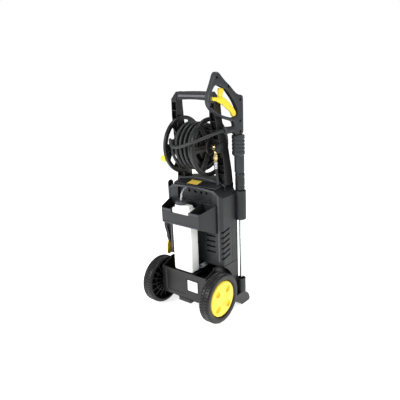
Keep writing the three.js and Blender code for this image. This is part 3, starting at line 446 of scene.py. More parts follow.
def moulded(name, colour, roughness, grain=0.9, depth=0.05, wear_and_highlight=0.35, coat=0.0, mottle=0.12):
    """Injection-moulded plastic. Its spark-eroded grain breaks up the shine, and is drawn coarser than the
    real 0.2 mm so that it shows; a slow mottle of flow marks varies tone and gloss; handled outer edges are
    paler, and more so on the proud mouldings, where that paling is a painted highlight. grain and depth are
    in millimetres."""
    material, tree, shader, at = blank(name)
    grit = node(tree, "TexNoise", Vector=at.outputs["Object"], Scale=1000 / grain, Detail=2.0, Roughness=0.6)
    flow = node(tree, "TexNoise", Vector=at.outputs["Object"], Scale=14.0, Detail=4.0, Roughness=0.55)
    shape = node(tree, "NewGeometry")
    # Convex edges are paled by an amount that is handling wear, and on the proud mouldings' paler finish a
    # painted highlight.
    wear_and_highlight_edges = node(tree, "MapRange", {"interpolation_type": "SMOOTHSTEP"}, Value=shape.outputs["Pointiness"],
                From_Min=0.52, From_Max=0.62, To_Min=0.0, To_Max=wear_and_highlight)
    tone = node(tree, "MapRange", Value=flow.outputs[0], From_Min=0.3, From_Max=0.7,
                To_Min=1 - mottle, To_Max=1 + mottle)
    base = node(tree, "Mix", {"data_type": "RGBA", "blend_type": "MULTIPLY"}, _0=1.0,
                _6=(*colour, 1.0), _7=tone.outputs[0])
    pale = tuple(min(1.0, c * 1.6 + 0.02) for c in colour)
    edged = node(tree, "Mix", {"data_type": "RGBA"}, _0=wear_and_highlight_edges.outputs[0],
                 _6=base.outputs[2], _7=(*pale, 1.0))
    gloss = node(tree, "MapRange", Value=flow.outputs[0], From_Min=0.3, From_Max=0.7,
                 To_Min=roughness - 0.06, To_Max=roughness + 0.06)
    bump = node(tree, "Bump", Height=grit.outputs[0], Strength=1.0, Distance=depth * MM)
    tree.links.new(edged.outputs[2], shader.inputs["Base Color"])
    tree.links.new(gloss.outputs[0], shader.inputs["Roughness"])
    tree.links.new(bump.outputs[0], shader.inputs["Normal"])
    shader.inputs["IOR"].default_value = 1.5
    shader.inputs["Specular IOR Level"].default_value = 0.4
    shader.inputs["Coat Weight"].default_value = coat
    shader.inputs["Coat Roughness"].default_value = 0.12
    return material


def metal(name, colour, roughness, streak=(1, 1, 1), scale=60.0, depth=0.01):
    """Bare metal. A streak stretches the noise along the way it was drawn, turned or cast."""
    material, tree, shader, at = blank(name)
    along = node(tree, "Mapping", Vector=at.outputs["Object"], Scale=streak)
    lines = node(tree, "TexNoise", Vector=along.outputs[0], Scale=scale, Detail=6.0, Roughness=0.6)
    gloss = node(tree, "MapRange", Value=lines.outputs[0], From_Min=0.3, From_Max=0.7,
                 To_Min=roughness * 0.7, To_Max=roughness * 1.3)
    tone = node(tree, "MapRange", Value=lines.outputs[0], From_Min=0.2, From_Max=0.8, To_Min=0.85, To_Max=1.1)
    base = node(tree, "Mix", {"data_type": "RGBA", "blend_type": "MULTIPLY"}, _0=1.0,
                _6=(*colour, 1.0), _7=tone.outputs[0])
    bump = node(tree, "Bump", Height=lines.outputs[0], Strength=0.6, Distance=depth * MM)
    tree.links.new(base.outputs[2], shader.inputs["Base Color"])
    tree.links.new(gloss.outputs[0], shader.inputs["Roughness"])
    tree.links.new(bump.outputs[0], shader.inputs["Normal"])
    shader.inputs["Metallic"].default_value = 1.0
    return material


def rubber(name, colour, roughness, ribs_mm, depth):
    """Rubber or soft vinyl extruded over a braid. Two waves lean opposite ways on a UV map that runs along
    and round it in millimetres, so the braid's fine diagonal print follows every turn."""
    material, tree, shader, at = blank(name)
    waves = []
    for lean in (1.0, -1.0):
        laid = node(tree, "Mapping", Vector=at.outputs["UV"], Rotation=(0, 0, lean * math.radians(54)))
        waves.append(node(tree, "TexWave", {"bands_direction": "X"}, Vector=laid.outputs[0],
                          Scale=math.pi / (10 * ribs_mm), Distortion=0.6, Detail=1.0).outputs[1])
    cross = node(tree, "Math", {"operation": "ADD"}, _0=waves[0], _1=waves[1])
    dust = node(tree, "TexNoise", Vector=at.outputs["Object"], Scale=45.0, Detail=5.0, Roughness=0.6)
    tone = node(tree, "MapRange", Value=dust.outputs[0], From_Min=0.3, From_Max=0.75,
                To_Min=0.75, To_Max=1.35)
    base = node(tree, "Mix", {"data_type": "RGBA", "blend_type": "MULTIPLY"}, _0=1.0,
                _6=(*colour, 1.0), _7=tone.outputs[0])
    gloss = node(tree, "MapRange", Value=dust.outputs[0], From_Min=0.3, From_Max=0.7,
                 To_Min=roughness - 0.08, To_Max=roughness + 0.1)
    bump = node(tree, "Bump", Height=cross.outputs[0], Strength=0.7, Distance=depth * MM)
    tree.links.new(base.outputs[2], shader.inputs["Base Color"])
    tree.links.new(gloss.outputs[0], shader.inputs["Roughness"])
    tree.links.new(bump.outputs[0], shader.inputs["Normal"])
    return material


def polyethylene():
    """Blow-moulded high-density polyethylene: waxy and milky, so light bleeds into it, with a faint
    orange-peel and slow changes of wall thickness."""
    material, tree, shader, at = blank("blow-moulded polyethylene")
    peel = node(tree, "TexNoise", Vector=at.outputs["Object"], Scale=380.0, Detail=2.0)
    walls = node(tree, "TexNoise", Vector=at.outputs["Object"], Scale=9.0, Detail=2.0)
    tone = node(tree, "MapRange", Value=walls.outputs[0], From_Min=0.3, From_Max=0.7, To_Min=0.96, To_Max=1.0)
    base = node(tree, "Mix", {"data_type": "RGBA", "blend_type": "MULTIPLY"}, _0=1.0,
                _6=(*colours().bottle, 1.0), _7=tone.outputs[0])
    bump = node(tree, "Bump", Height=peel.outputs[0], Strength=0.5, Distance=0.03 * MM)
    tree.links.new(base.outputs[2], shader.inputs["Base Color"])
    tree.links.new(bump.outputs[0], shader.inputs["Normal"])
    shader.inputs["Roughness"].default_value = 0.36
    shader.inputs["Subsurface Weight"].default_value = 0.35
    shader.inputs["Subsurface Radius"].default_value = (0.012, 0.012, 0.011)
    return material


def clear_plastic(name, code, transmission, roughness):
    """Unfilled cloudy plastic, part see-through, with a gloss that wanders slowly over it."""
    material, tree, shader, at = blank(name)
    haze = node(tree, "TexNoise", Vector=at.outputs["Object"], Scale=70.0, Detail=3.0)
    gloss = node(tree, "MapRange", Value=haze.outputs[0], From_Min=0.3, From_Max=0.7,
                 To_Min=roughness * 0.7, To_Max=roughness * 1.4)
    tree.links.new(gloss.outputs[0], shader.inputs["Roughness"])
    shader.inputs["Base Color"].default_value = (*linear(code), 1.0)
    shader.inputs["Transmission Weight"].default_value = transmission
    shader.inputs["IOR"].default_value = 1.45
    return material


def printed_film(name, code, border, half, centre, second):
    """Self-adhesive printed film: a flat satin colour with a dark printed border. A point is in the border
    where the lesser of half - |distance from the centre|, along x and along the film's second axis (1 for y,
    2 for z), is under the border's width."""
    material, tree, shader, at = blank(name)
    middle = node(tree, "Mapping", {"vector_type": "POINT"}, Vector=at.outputs["Object"],
                  Location=tuple(-c for c in centre))
    apart = node(tree, "SeparateXYZ", Vector=middle.outputs[0])
    x = node(tree, "Math", {"operation": "ABSOLUTE"}, _0=apart.outputs[0])
    y = node(tree, "Math", {"operation": "ABSOLUTE"}, _0=apart.outputs[second])
    x_in = node(tree, "Math", {"operation": "SUBTRACT"}, _0=half[0], _1=x.outputs[0])
    y_in = node(tree, "Math", {"operation": "SUBTRACT"}, _0=half[1], _1=y.outputs[0])
    near = node(tree, "Math", {"operation": "MINIMUM"}, _0=x_in.outputs[0], _1=y_in.outputs[0])
    edge = node(tree, "MapRange", {"interpolation_type": "SMOOTHSTEP"}, Value=near.outputs[0],
                From_Min=border * 0.8, From_Max=border, To_Min=0.0, To_Max=1.0)
    ink = node(tree, "Mix", {"data_type": "RGBA"}, _0=edge.outputs[0],
               _6=(*linear("#2A2A2A"), 1.0), _7=(*linear(code), 1.0))
    tree.links.new(ink.outputs[2], shader.inputs["Base Color"])
    shader.inputs["Roughness"].default_value = 0.38
    return material


FINISH = {}


def make_finishes():
    """Every finish of the washer, by its plain name."""
    c = colours()
    FINISH.update({
        # Polypropylene with fine grain: satin, greyish where light grazes it.
        "black": moulded("black polypropylene", c.black, 0.38),
        "charcoal": moulded("charcoal polypropylene", c.charcoal, 0.43),
        "wheel": moulded("blown polyethylene wheel", c.black, 0.42, grain=2.2, depth=0.25, mottle=0.22),
        # The same plastic on proud mouldings, smoother, and paler as a painted highlight along them.
        "edge": moulded("charcoal polypropylene with painted highlight", linear("#3E3F45"), 0.3, wear_and_highlight=0.6),
        # A soft strip on the grip, its pale grey a painted highlight.
        "strip": moulded("grey thermoplastic rubber, painted highlight", linear("#5A5B60"), 0.5, grain=1.4, depth=0.08),
        "grey": moulded("grey glass-filled nylon", c.grey, 0.48, depth=0.04),
        # ABS moulded in a polished tool: glossy, hardly any grain.
        "yellow": moulded("yellow ABS", c.yellow, 0.32, depth=0.012, wear_and_highlight=0.1, coat=0.25, mottle=0.03),
        # Extruded covers: a soft broad shine with dusty patches, and a braid that prints through.
        "hose": rubber("rubber hose cover", c.hose, 0.5, 1.6, 0.12),
        "cord": rubber("vinyl mains cord", linear("#232325"), 0.42, 2.0, 0.03),
        # Milky and waxy, with soft edges to every shadow.
        "bottle": polyethylene(),
        "cap": moulded("grey polypropylene closure", linear("#3C3D40"), 0.42, mottle=0.05),
        # Cloudy and wet-looking, dark where it is seen through.
        "tube": clear_plastic("clear vinyl tube", "#DCE3EA", 0.45, 0.16),
        # Metals: streaks run round or along the way each was drawn, turned, cast or stacked.
        "steel": metal("drawn stainless steel", linear("#C4C6C8"), 0.26, (14, 14, 0.5), 40.0),
        "zinc": metal("zinc-plated steel", linear("#B9BBBE"), 0.32),
        "brass": metal("turned brass", linear("#D9C68F"), 0.26, (1, 1, 9), 60.0),
        "cast": metal("cast aluminium", linear("#8F9194"), 0.5, scale=220.0, depth=0.08),
        "copper": metal("laminated iron", linear("#77706A"), 0.45, (1, 1, 30), 50.0, 0.05),
        "screw": metal("blackened steel", linear("#1A1A1B"), 0.5),
    })


# ---------------------------------------------------------------- pieces

class WASHER_OT_camera(bpy.types.Operator):
    """Put the camera where the maker's view of the washer is taken from"""
    bl_idname = "washer.camera"
    bl_label = "Camera"

    def execute(self, context):
        data = bpy.data.cameras.new("camera")
        camera = bpy.data.objects.new("camera", data)
        context.scene.collection.objects.link(camera)
        yaw, pitch, roll = (math.radians(a) for a in (39.56, -16.58, -2.24))
        ahead = np.array([-math.sin(yaw) * math.cos(pitch), math.cos(yaw) * math.cos(pitch), math.sin(pitch)])
        right = np.cross(ahead, (0, 0, 1))
        right /= np.linalg.norm(right)
        up = np.cross(right, ahead)
        tilted = math.cos(roll) * right + math.sin(roll) * up
        upright = math.cos(roll) * up - math.sin(roll) * right
        turn = Matrix(np.stack([tilted, upright, -ahead], -1).tolist()).to_4x4()
        camera.matrix_world = Matrix.Translation((1.1501, -1.3413, 0.9900)) @ turn
        data.lens = 41.80
        data.sensor_width = 36.0
        data.shift_x = -0.0065
        data.shift_y = -0.00375
        context.scene.camera = camera
        return {"FINISHED"}


def tube_piece(name, path, diameter, reference, material, body, replaces, around=14, close=0.6):
    """A round tube on a line, its ends drawn in over a short round, with a UV map in millimetres along and
    round it."""
    line = np.asarray(path, float)
    run = np.concatenate([[0], np.cumsum(np.linalg.norm(np.diff(line, axis=0), axis=1))])
    radius = np.full(len(line), diameter / 2)
    radius[[0, -1]] *= close
    section = radius[:, None, None] * circle(1.0, around)[None]
    points, faces = grid(carried(line, section, reference))
    girth = np.linspace(0, math.pi * diameter, around, endpoint=False)
    uv = paired(run[:, None], girth[None]).reshape(-1, 2)
    uv = np.vstack([uv, uv[:1], uv[-1:]])
    return piece(name, [(points, faces)], material, body, replaces, uv=uv)


def mains_cord_path():
    """The cord leaves its gland downwards and is wound on the two hooks as a pair of flat layers. One turn is
    a straight run down, a half circle, a run up and a half circle whose radius eases by a diameter: inwards
    in the layer by the body, outwards in the outer one. The outermost turns hang loose, bowed off the rest by
    a squared sine on their front runs. The end drops behind the hank to the plug."""
    diameter = sizes().cord_diameter / MM
    steps = 40
    radii = (HANK_FOLD + np.arange(HANK_TURNS)) * diameter
    near, far = HANK_X + diameter / 2, HANK_X - diameter / 2
    t = np.linspace(0, 1, steps)
    ease = t * t * (3 - 2 * t)
    rows = []
    plan = [(near, near, r, r - diameter) for r in radii[:0:-1]] + [(near, far, radii[0], radii[0])]
    plan += [(far, far, r, r + diameter) for r in radii]
    for x, next_x, radius, next_radius in plan:
        slack = HANK_SLACK if radius == radii[-1] else 0.0
        low = np.stack([HOOK_Y + radius * np.cos(np.pi * t), HOOK_LOW_Z - radius * np.sin(np.pi * t)], -1)
        front = np.stack([HOOK_Y - radius - slack * np.sin(np.pi * t) ** 2,
                          HOOK_LOW_Z + (HOOK_TOP_Z - HOOK_LOW_Z) * t], -1)
        wide = radius + (next_radius - radius) * ease
        top = np.stack([HOOK_Y - wide * np.cos(np.pi * t), HOOK_TOP_Z + wide * np.sin(np.pi * t)], -1)
        across = np.concatenate([np.full(2 * steps - 2, x), x + (next_x - x) * ease])
        rows.append(np.column_stack([across, np.vstack([low, front[1:-1], top])]))
    outer = HOOK_Y + radii[-1]
    lead = spline([(HANK_X, GLAND_Y, GLAND_Z - 12), (HANK_X, GLAND_Y, 448), (HANK_X + 1, 147.5, 431),
                   (HANK_X + 3, 155, 412), (near, outer - 0.8, 393), (near, outer, 376)], 3.0)
    hang = spline([tuple(rows[-1][-1]), (far, outer + diameter + 2, 368), (far + 2, PLUG_Y - 2, 353),
                   (HANK_X, PLUG_Y, 344), (HANK_X, PLUG_Y, PLUG_TOP + 2)], 3.0)
    return spaced(np.vstack([lead, *rows, hang[1:]]), 3.0)


class WASHER_OT_mains_cord(bpy.types.Operator):
    """Wind the mains cord on its hooks, with its gland, strain relief and plug"""
    bl_idname = "washer.mains_cord"
    bl_label = "Mains cord"

    def execute(self, context):
        diameter = sizes().cord_diameter / MM
        path = mains_cord_path()
        cord = tube_piece(
            "mains_cord", path, diameter, (1, 0, 0), FINISH["cord"], "frame", ("cord_lead", "cord_hank"))
        hanging = (HANK_X, PLUG_Y, PLUG_TOP)
        outline = [(-12.5, -32), (12.5, -32), (12.5, -8), (9, 0), (-9, 0), (-12.5, -8)]
        body = in_side_plane(slab(outline, -8, 8, (3, 3), corner=4), hanging)
        sleeve = [(0, 10), (5.2, 10), (5.2, 7), (4.9, 6.5), (5.4, 4), (5.1, 3.5), (6.4, -3), (0, -3)]
        pins = [lathe([(0, -31), (2.4, -31), (2.4, -48), (1.5, -50), (0, -50)], radius=0.6, segments=20,
                      centre=(HANK_X, PLUG_Y + side * 9.5, PLUG_TOP)) for side in (-1, 1)]
        sleeve = lathe(sleeve, centre=hanging, radius=0.5)
        plug = piece("mains_plug", [body, sleeve], FINISH["cord"], "frame", ("plug",))
        prongs = piece("plug_pins", pins, FINISH["zinc"], "frame")
        relief = [(0, 3), (7, 3), (7, -4)]
        for i in range(6):
            z, r = -7 - 5 * i, 6.6 - 0.28 * i
            relief += [(r, z + 1.2), (r, z - 1.4), (r - 0.9, z - 1.8), (r - 0.9, z - 3.2)]
        relief += [(4.5, -38), (0, -38)]
        at = (HANK_X, GLAND_Y, GLAND_Z)
        sheath = lathe(relief, centre=at, radius=0.5, segments=32)
        elbow = lathe([(0, -8), (6, -8), (8, -5), (8, 5), (6, 8), (0, 8)], (1, 0, 0), at, 2)
        collar = lathe([(0, 8.5), (10, 8.5), (10.5, 7), (10.5, 3), (0, 3)], (1, 0, 0), at, 1)
        gland = piece(
            "cord_strain_relief", [sheath, elbow, collar], FINISH["black"], "frame",
            ("cord_gland",))
        return {"FINISHED"}


def hose_layer(radius, x_from, x_to, begin, turns):
    """One layer of the wound hose: a helix about the reel's axis, its angle and its x both growing evenly."""
    t = np.linspace(0, 1, int(turns * 72))
    angle = begin + 2 * np.pi * turns * t
    x = x_from + (x_to - x_from) * t
    return np.stack([x, REEL_Y - radius * np.cos(angle), REEL_Z + radius * np.sin(angle)], -1)


def climb(line_a, line_b, count=30):
    """A smooth step from the end of one layer to the start of the next, turning with both: cylinder
    coordinates are eased between the two ends."""
    a, b = line_a[-1], line_b[0]

    def polar(p):
        return math.hypot(p[1] - REEL_Y, p[2] - REEL_Z), math.atan2(p[2] - REEL_Z, REEL_Y - p[1])

    (ra, ta), (rb, tb) = polar(a), polar(b)
    tb = ta + (tb - ta) % (2 * math.pi)
    t = np.linspace(0, 1, count + 2)[1:-1]
    ease = t * t * (3 - 2 * t)
    r = ra + (rb - ra) * ease
    angle = ta + (tb - ta) * t
    x = a[0] + (b[0] - a[0]) * ease
    return np.stack([x, REEL_Y - r * np.cos(angle), REEL_Z + r * np.sin(angle)], -1)


class WASHER_OT_hose(bpy.types.Operator):
    """Wind the pressure hose on the drum and lead its end to the gun"""
    bl_idname = "washer.hose"
    bl_label = "Pressure hose"

    def execute(self, context):
        diameter = sizes().hose_diameter / MM
        turns = sizes().inner_turns
        left, right = HOSE_SPAN
        begin = HOSE_LEAVES - 2 * math.pi * OUTER_TURNS
        first = hose_layer(HOSE_LAYERS[0], right, left, 0.0, turns - 0.12)
        second = hose_layer(HOSE_LAYERS[1], left, right, 0.0, turns - 0.12)
        third = hose_layer(HOSE_LAYERS[2], right - 2, left, begin, OUTER_TURNS)
        path = spaced(np.vstack([first, climb(first, second), second, climb(second, third), third]), 4.0)
        coil = tube_piece("wound_hose", path, diameter, (1, 0, 0), FINISH["hose"], "reel", ("hose_coil",))
        gun = np.array([math.cos(GUN_TURN), math.sin(GUN_TURN), 0.0])
        lance = np.array([LANCE_X, LANCE_Y, 738.0])
        lay = COIL_RADIUS + 0.3 + diameter / 2
        off_reel = (-51, REEL_Y - lay * math.cos(HOSE_LEAVES), REEL_Z + lay * math.sin(HOSE_LEAVES))
        line = spline([
            off_reel, (-44, -17, 697), (-30, -28, 689), (-8, -36, 686), (22, -40, 690), (60, -38, 702),
            (96, -14, 717), (119, 32, 731), tuple(lance - 94.3 * gun), tuple(lance - 78.3 * gun)], 4.0)
        strand = tube_piece(
            "hose_to_gun", line, diameter, (0, 0, 1), FINISH["hose"], None, ("hose_strand",), 18)
        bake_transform(strand)
        return {"FINISHED"}


class WASHER_OT_wheels(bpy.types.Operator):
    """Turn both wheels, with their tread, ribs and yellow hub caps"""
    bl_idname = "washer.wheels"
    bl_label = "Wheels"

    def execute(self, context):
        segments = 8 * sizes().tread_blocks
        depth = sizes().tread_depth / MM
        profile = [(6.3, -20), (18, -20), (18, 7), (79, 7), (85, -23), (94, -23), (100, -17), (100, 17),
                   (94, 23), (80, 23), (74, 19), (73, 12), (6.3, 12)]
        line = spaced(rounded(profile, 4), 2.2, closed=True)
        # The tread's radius drops by its depth where a cosine of the angle, shifted half a turn between the
        # tread's two halves, is over 0.3, and in one groove round the middle. Clipped ramps slope the walls.
        around = angles(segments)[None] * sizes().tread_blocks + np.where(line[:, 1:] > 0, np.pi, 0.0)
        groove = np.clip((np.cos(around) - 0.3) / 0.35, 0, 1)
        height = np.abs(line[:, 1:])
        on_tread = np.clip((line[:, :1] - 93) / 3, 0, 1) * np.clip((height - 3) / 2, 0, 1)
        middle = np.clip((line[:, :1] - 98.5) / 1, 0, 1) * np.clip((3.2 - height) / 1.5, 0, 1)
        radius = line[:, :1] - depth * np.maximum(groove * on_tread, middle)
        shape = paired(radius, line[:, 1:])
        for name, side in (("left", -1), ("right", 1)):
            axis, centre = (side, 0, 0), (side * WHEEL_X, 0, AXLE_Z)
            parts = [grid(turned(shape, segments, axis, centre), loop=True)]
            web = slab([(15, -17), (40, -17), (81, -8), (83, 9), (15, 9)], -1.7, 1.7, (0.8, 0.8))
            web = aimed(web, (0, 1, 0), axis, (0, 0, 1), centre)
            parts += [spun(web, math.radians(22.5 * i), "X", centre) for i in range(16)]
            ring_ribs = lathe([(48, -12), (51, -12), (51, 9), (48, 9)], axis, centre, 0.8, 96)
            piece(f"{name}_wheel_moulding", parts + [ring_ribs], FINISH["wheel"], f"{name}_wheel_set",
                  (f"{name}_wheel",), crease=35)
            piece(f"{name}_hub_disc", [self.hub(axis, centre)], FINISH["yellow"], f"{name}_wheel_set",
                  (f"{name}_hub_cap",), crease=50)
        soften("axle", FINISH["zinc"], 0.8)
        return {"FINISHED"}

    @staticmethod
    def hub(axis, centre):
        """A shallow dome with a dished middle and four stadium pockets. With d the distance to a radial line
        between a pocket's two centres, its face is lowered by depth * e * e * (3 - 2 e), where e is
        (half width - d) / 2.6 held between 0 and 1."""
        line = spaced(rounded([
            (0, 12.3), (70, 12.3), (72, 14.3), (72, 19), (66, 21.7), (40, 22.8), (25, 22.9), (21, 20.8),
            (0, 20.4)], 3, closed=False), 1.3)
        segments = 240
        away = np.abs((angles(segments)[None] - np.pi / 4) % (np.pi / 2))
        away = np.minimum(away, np.pi / 2 - away)
        r = line[:, :1]
        along, across = r * np.cos(away), r * np.sin(away)
        distance = np.hypot(across, along - np.clip(along, *POCKET_REACH))
        ease = np.clip((POCKET_HALF_WIDTH - distance) / 2.6, 0, 1)
        sunk = POCKET_DEPTH * ease * ease * (3 - 2 * ease) * (line[:, 1:] > 17)
        return grid(turned(paired(r, line[:, 1:] - sunk), segments, axis, centre))


class WASHER_OT_chassis(bpy.types.Operator):
    """Finish the chassis, feet, lance cup and rating plate"""
    bl_idname = "washer.chassis"
    bl_label = "Chassis"

    def execute(self, context):
        for name, finish, edge in (
                ("base_chassis", "black", 2.0), ("left_foot", "black", 2.5), ("right_foot", "black", 2.5),
                ("lance_cup", "charcoal", 1.2)):
            soften(name, FINISH[finish], edge)
        plate = slab([(20, 106), (72, 106), (72, 153), (20, 153)], 0, 0.7, (0.2, 0.2), corner=3)
        film = printed_film("white plate film", "#F4F4F2", 0.0008, (0.026, 0.0235), (0.046, 0, 0.1295), 2)
        plate = on_front_plane(plate, -32.1)
        piece("plain_plate", [plate], film, "frame", ("rating_plate",))
        return {"FINISHED"}


class WASHER_OT_body(bpy.types.Operator):
    """Finish the body shells, deck, tray, lance clip and cord hooks"""
    bl_idname = "washer.body"
    bl_label = "Body"

    def execute(self, context):
        for name, finish, edge in (
                ("rear_shell", "charcoal", 1.5), ("front_shell", "charcoal", 1.5),
                ("deck_cover", "charcoal", 1.8), ("detergent_tray", "charcoal", 1.1),
                ("lance_clip", "charcoal", 1.5), ("cord_hook_upper", "black", 1.5),
                ("cord_hook_lower", "yellow", 1.5)):
            soften(name, FINISH[finish], edge)
        # Thin black sheets just inside the shells are painted shade: they make the hollow behind the shells
        # read dark.
        side_shade_sheet = slab([(-4, 214), (44, 214), (44, 366), (-4, 366)], -1, 1, (0.5, 0.5))
        front_shade_sheet = slab([(56, 240), (112, 240), (112, 345), (56, 345)], -1, 1, (0.5, 0.5))
        walls = [in_side_plane(side_shade_sheet, (x, 58.0, 0)) for x in (-131.0, 131.0)]
        walls.append(aimed(front_shade_sheet, (1, 0, 0), (0, 0, 1), (0, 1, 0), (0, 56, 0)))
        piece("painted_shade_sheets", walls, FINISH["black"], "frame")
        lips = [slab([(-93, 379), (93, 379), (93, 384.5), (-93, 384.5)], 0, 2.4, (0.3, 1.4), corner=1)]
        for side in (-1, 1):
            corners = [(side * 45, 432), (side * 93, 432), (side * 93, 438), (side * 45, 438)][::side]
            lips.append(slab(corners, 0, 2.0, (0.3, 1.2), corner=1))
        lips = [on_front_plane(lip, -36.3) for lip in lips]
        # The lips take the paler finish: a painted highlight along the tray's edges.
        piece("tray_lips", lips, FINISH["edge"], "frame")
        self.mouldings()
        low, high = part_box("deck_label")
        film = printed_film(
            "yellow label film", "#FFDC5C", 0.0022, ((high.x - low.x) / 2, (high.y - low.y) / 2),
            ((high.x + low.x) / 2, (high.y + low.y) / 2, 0), 1)
        NODES["deck_label"].material_slots[0].material = film
        return {"FINISHED"}

    @staticmethod
    def mouldings():
        """Two raised bands in the plane across the body. One frames its bottle side, up one corner, over the
        crowned top and down the other; one edges the deck's lip. A crown's height falls from its middle with
        the square of the distance across."""
        t = np.linspace(-1, 1, 31)[:, None]

        def band(half, eave, crown, width, leg):
            """A crowned arch between two legs, closed along its inner side a width away."""
            outer = np.hstack([-half * t, eave + (crown - eave) * (1 - t * t)])
            inner = outer[::-1] * ((half - width) / half, 1) - (0, width)
            return np.vstack([leg, outer, leg[::-1] * (-1, 1), (leg * (-1, 1) - (-width, 0)), inner,
                              (leg[::-1] - (width, 0))])

        frame_band = band(104, 512.5, 518, 7, np.array([(128.5, 226.0), (128.5, 494.0)]))
        deck_band = band(120, 526.5, 544, 5, np.array([(120.0, 520.0)]))
        for name, outline, depth, y in (
                ("body_frame", frame_band, 2.4, 46.2), ("deck_edge", deck_band, 1.8, 97.2)):
            # Both bands take the paler finish: a painted highlight along the ridges.
            raised = on_front_plane(slab(outline, 0, depth, (0.2, 1.1), corner=0), y)
            piece(name, [raised], FINISH["edge"], "frame")


class WASHER_OT_bottle(bpy.types.Operator):
    """Blow the detergent bottle, with its cap and suction tube"""
    bl_idname = "washer.bottle"
    bl_label = "Detergent bottle"

    def execute(self, context):
        # The plan is a superellipse: x = (half - inset) * sign(cos t) * |cos t|^squareness, and y the same
        # with sin t. The inset changes with height: round at base, shoulder and neck, with a waist groove.
        insets = [(8, 185), (3, 186.2), (0.8, 189), (0, 194), (0, 300), (1.2, 302), (1.2, 304), (0, 306),
                  (0, 436), (1, 441), (4, 445), (8.6, 446.4), (10, 447.5), (10, 454), (11, 456.4), (13, 457)]
        line = spaced(rounded(insets, 3, closed=False), 1.5)
        inset = line[:, :1]
        t = angles(160)
        round_x, round_y = (np.sign(c) * np.abs(c) ** BOTTLE_SQUARENESS for c in (np.cos(t), np.sin(t)))
        x = (BOTTLE_HALF - inset) * round_x
        y = (BOTTLE_FRONT + BOTTLE_BACK) / 2 + ((BOTTLE_BACK - BOTTLE_FRONT) / 2 - inset) * round_y
        z = np.broadcast_to(line[:, 1:], x.shape)
        piece("bottle_wall", [grid(np.stack([x, y, z], -1))], FINISH["bottle"], "bottle",
              ("detergent_bottle",), crease=50)
        cap = [(0, 457.3), (22, 457.3), (22.8, 458), (22.8, 468), (20, 471), (6, 471), (5, 470), (0, 470)]
        profile = spaced(rounded(cap, 1.2, closed=False), 0.8)
        cap = grid(turned(knurled(profile, 21.5, 0.7, 48, 240), 240, centre=(-15, -6, 0)))
        piece("cap_of_bottle", [cap], FINISH["cap"], "bottle_cap", ("bottle_cap",))
        line = spline([
            (-15, -6, 471.3), (-15, -6, 479), (-19, 4, 497), (-27, 25, 505), (-33, 43, 507),
            (-33, 62, 507)], 2.0)
        hose = tube_piece(
            "suction_line", line, 7.0, (1, 0, 0), FINISH["tube"], None, ("suction_tube",), 20, 0.9)
        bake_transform(hose)
        return {"FINISHED"}


class WASHER_OT_handle(bpy.types.Operator):
    """Finish the posts, grip and its soft strip"""
    bl_idname = "washer.handle"
    bl_label = "Handle"

    def execute(self, context):
        for name, edge in (("left_post", 1.5), ("right_post", 1.5), ("handle_grip", 2.5)):
            soften(name, FINISH["black"], edge)
        # The strip is raised on the grip; its pale grey finish is a painted highlight along the grip's top.
        strip = slab([(-70, 858), (70, 858), (70, 868), (-70, 868)], 0, 4.6, (0.2, 2.0), corner=4)
        strip = on_front_plane(strip, 70.6)
        piece("soft_strip", [strip], FINISH["strip"], "frame", ("grip_strip",))
        return {"FINISHED"}


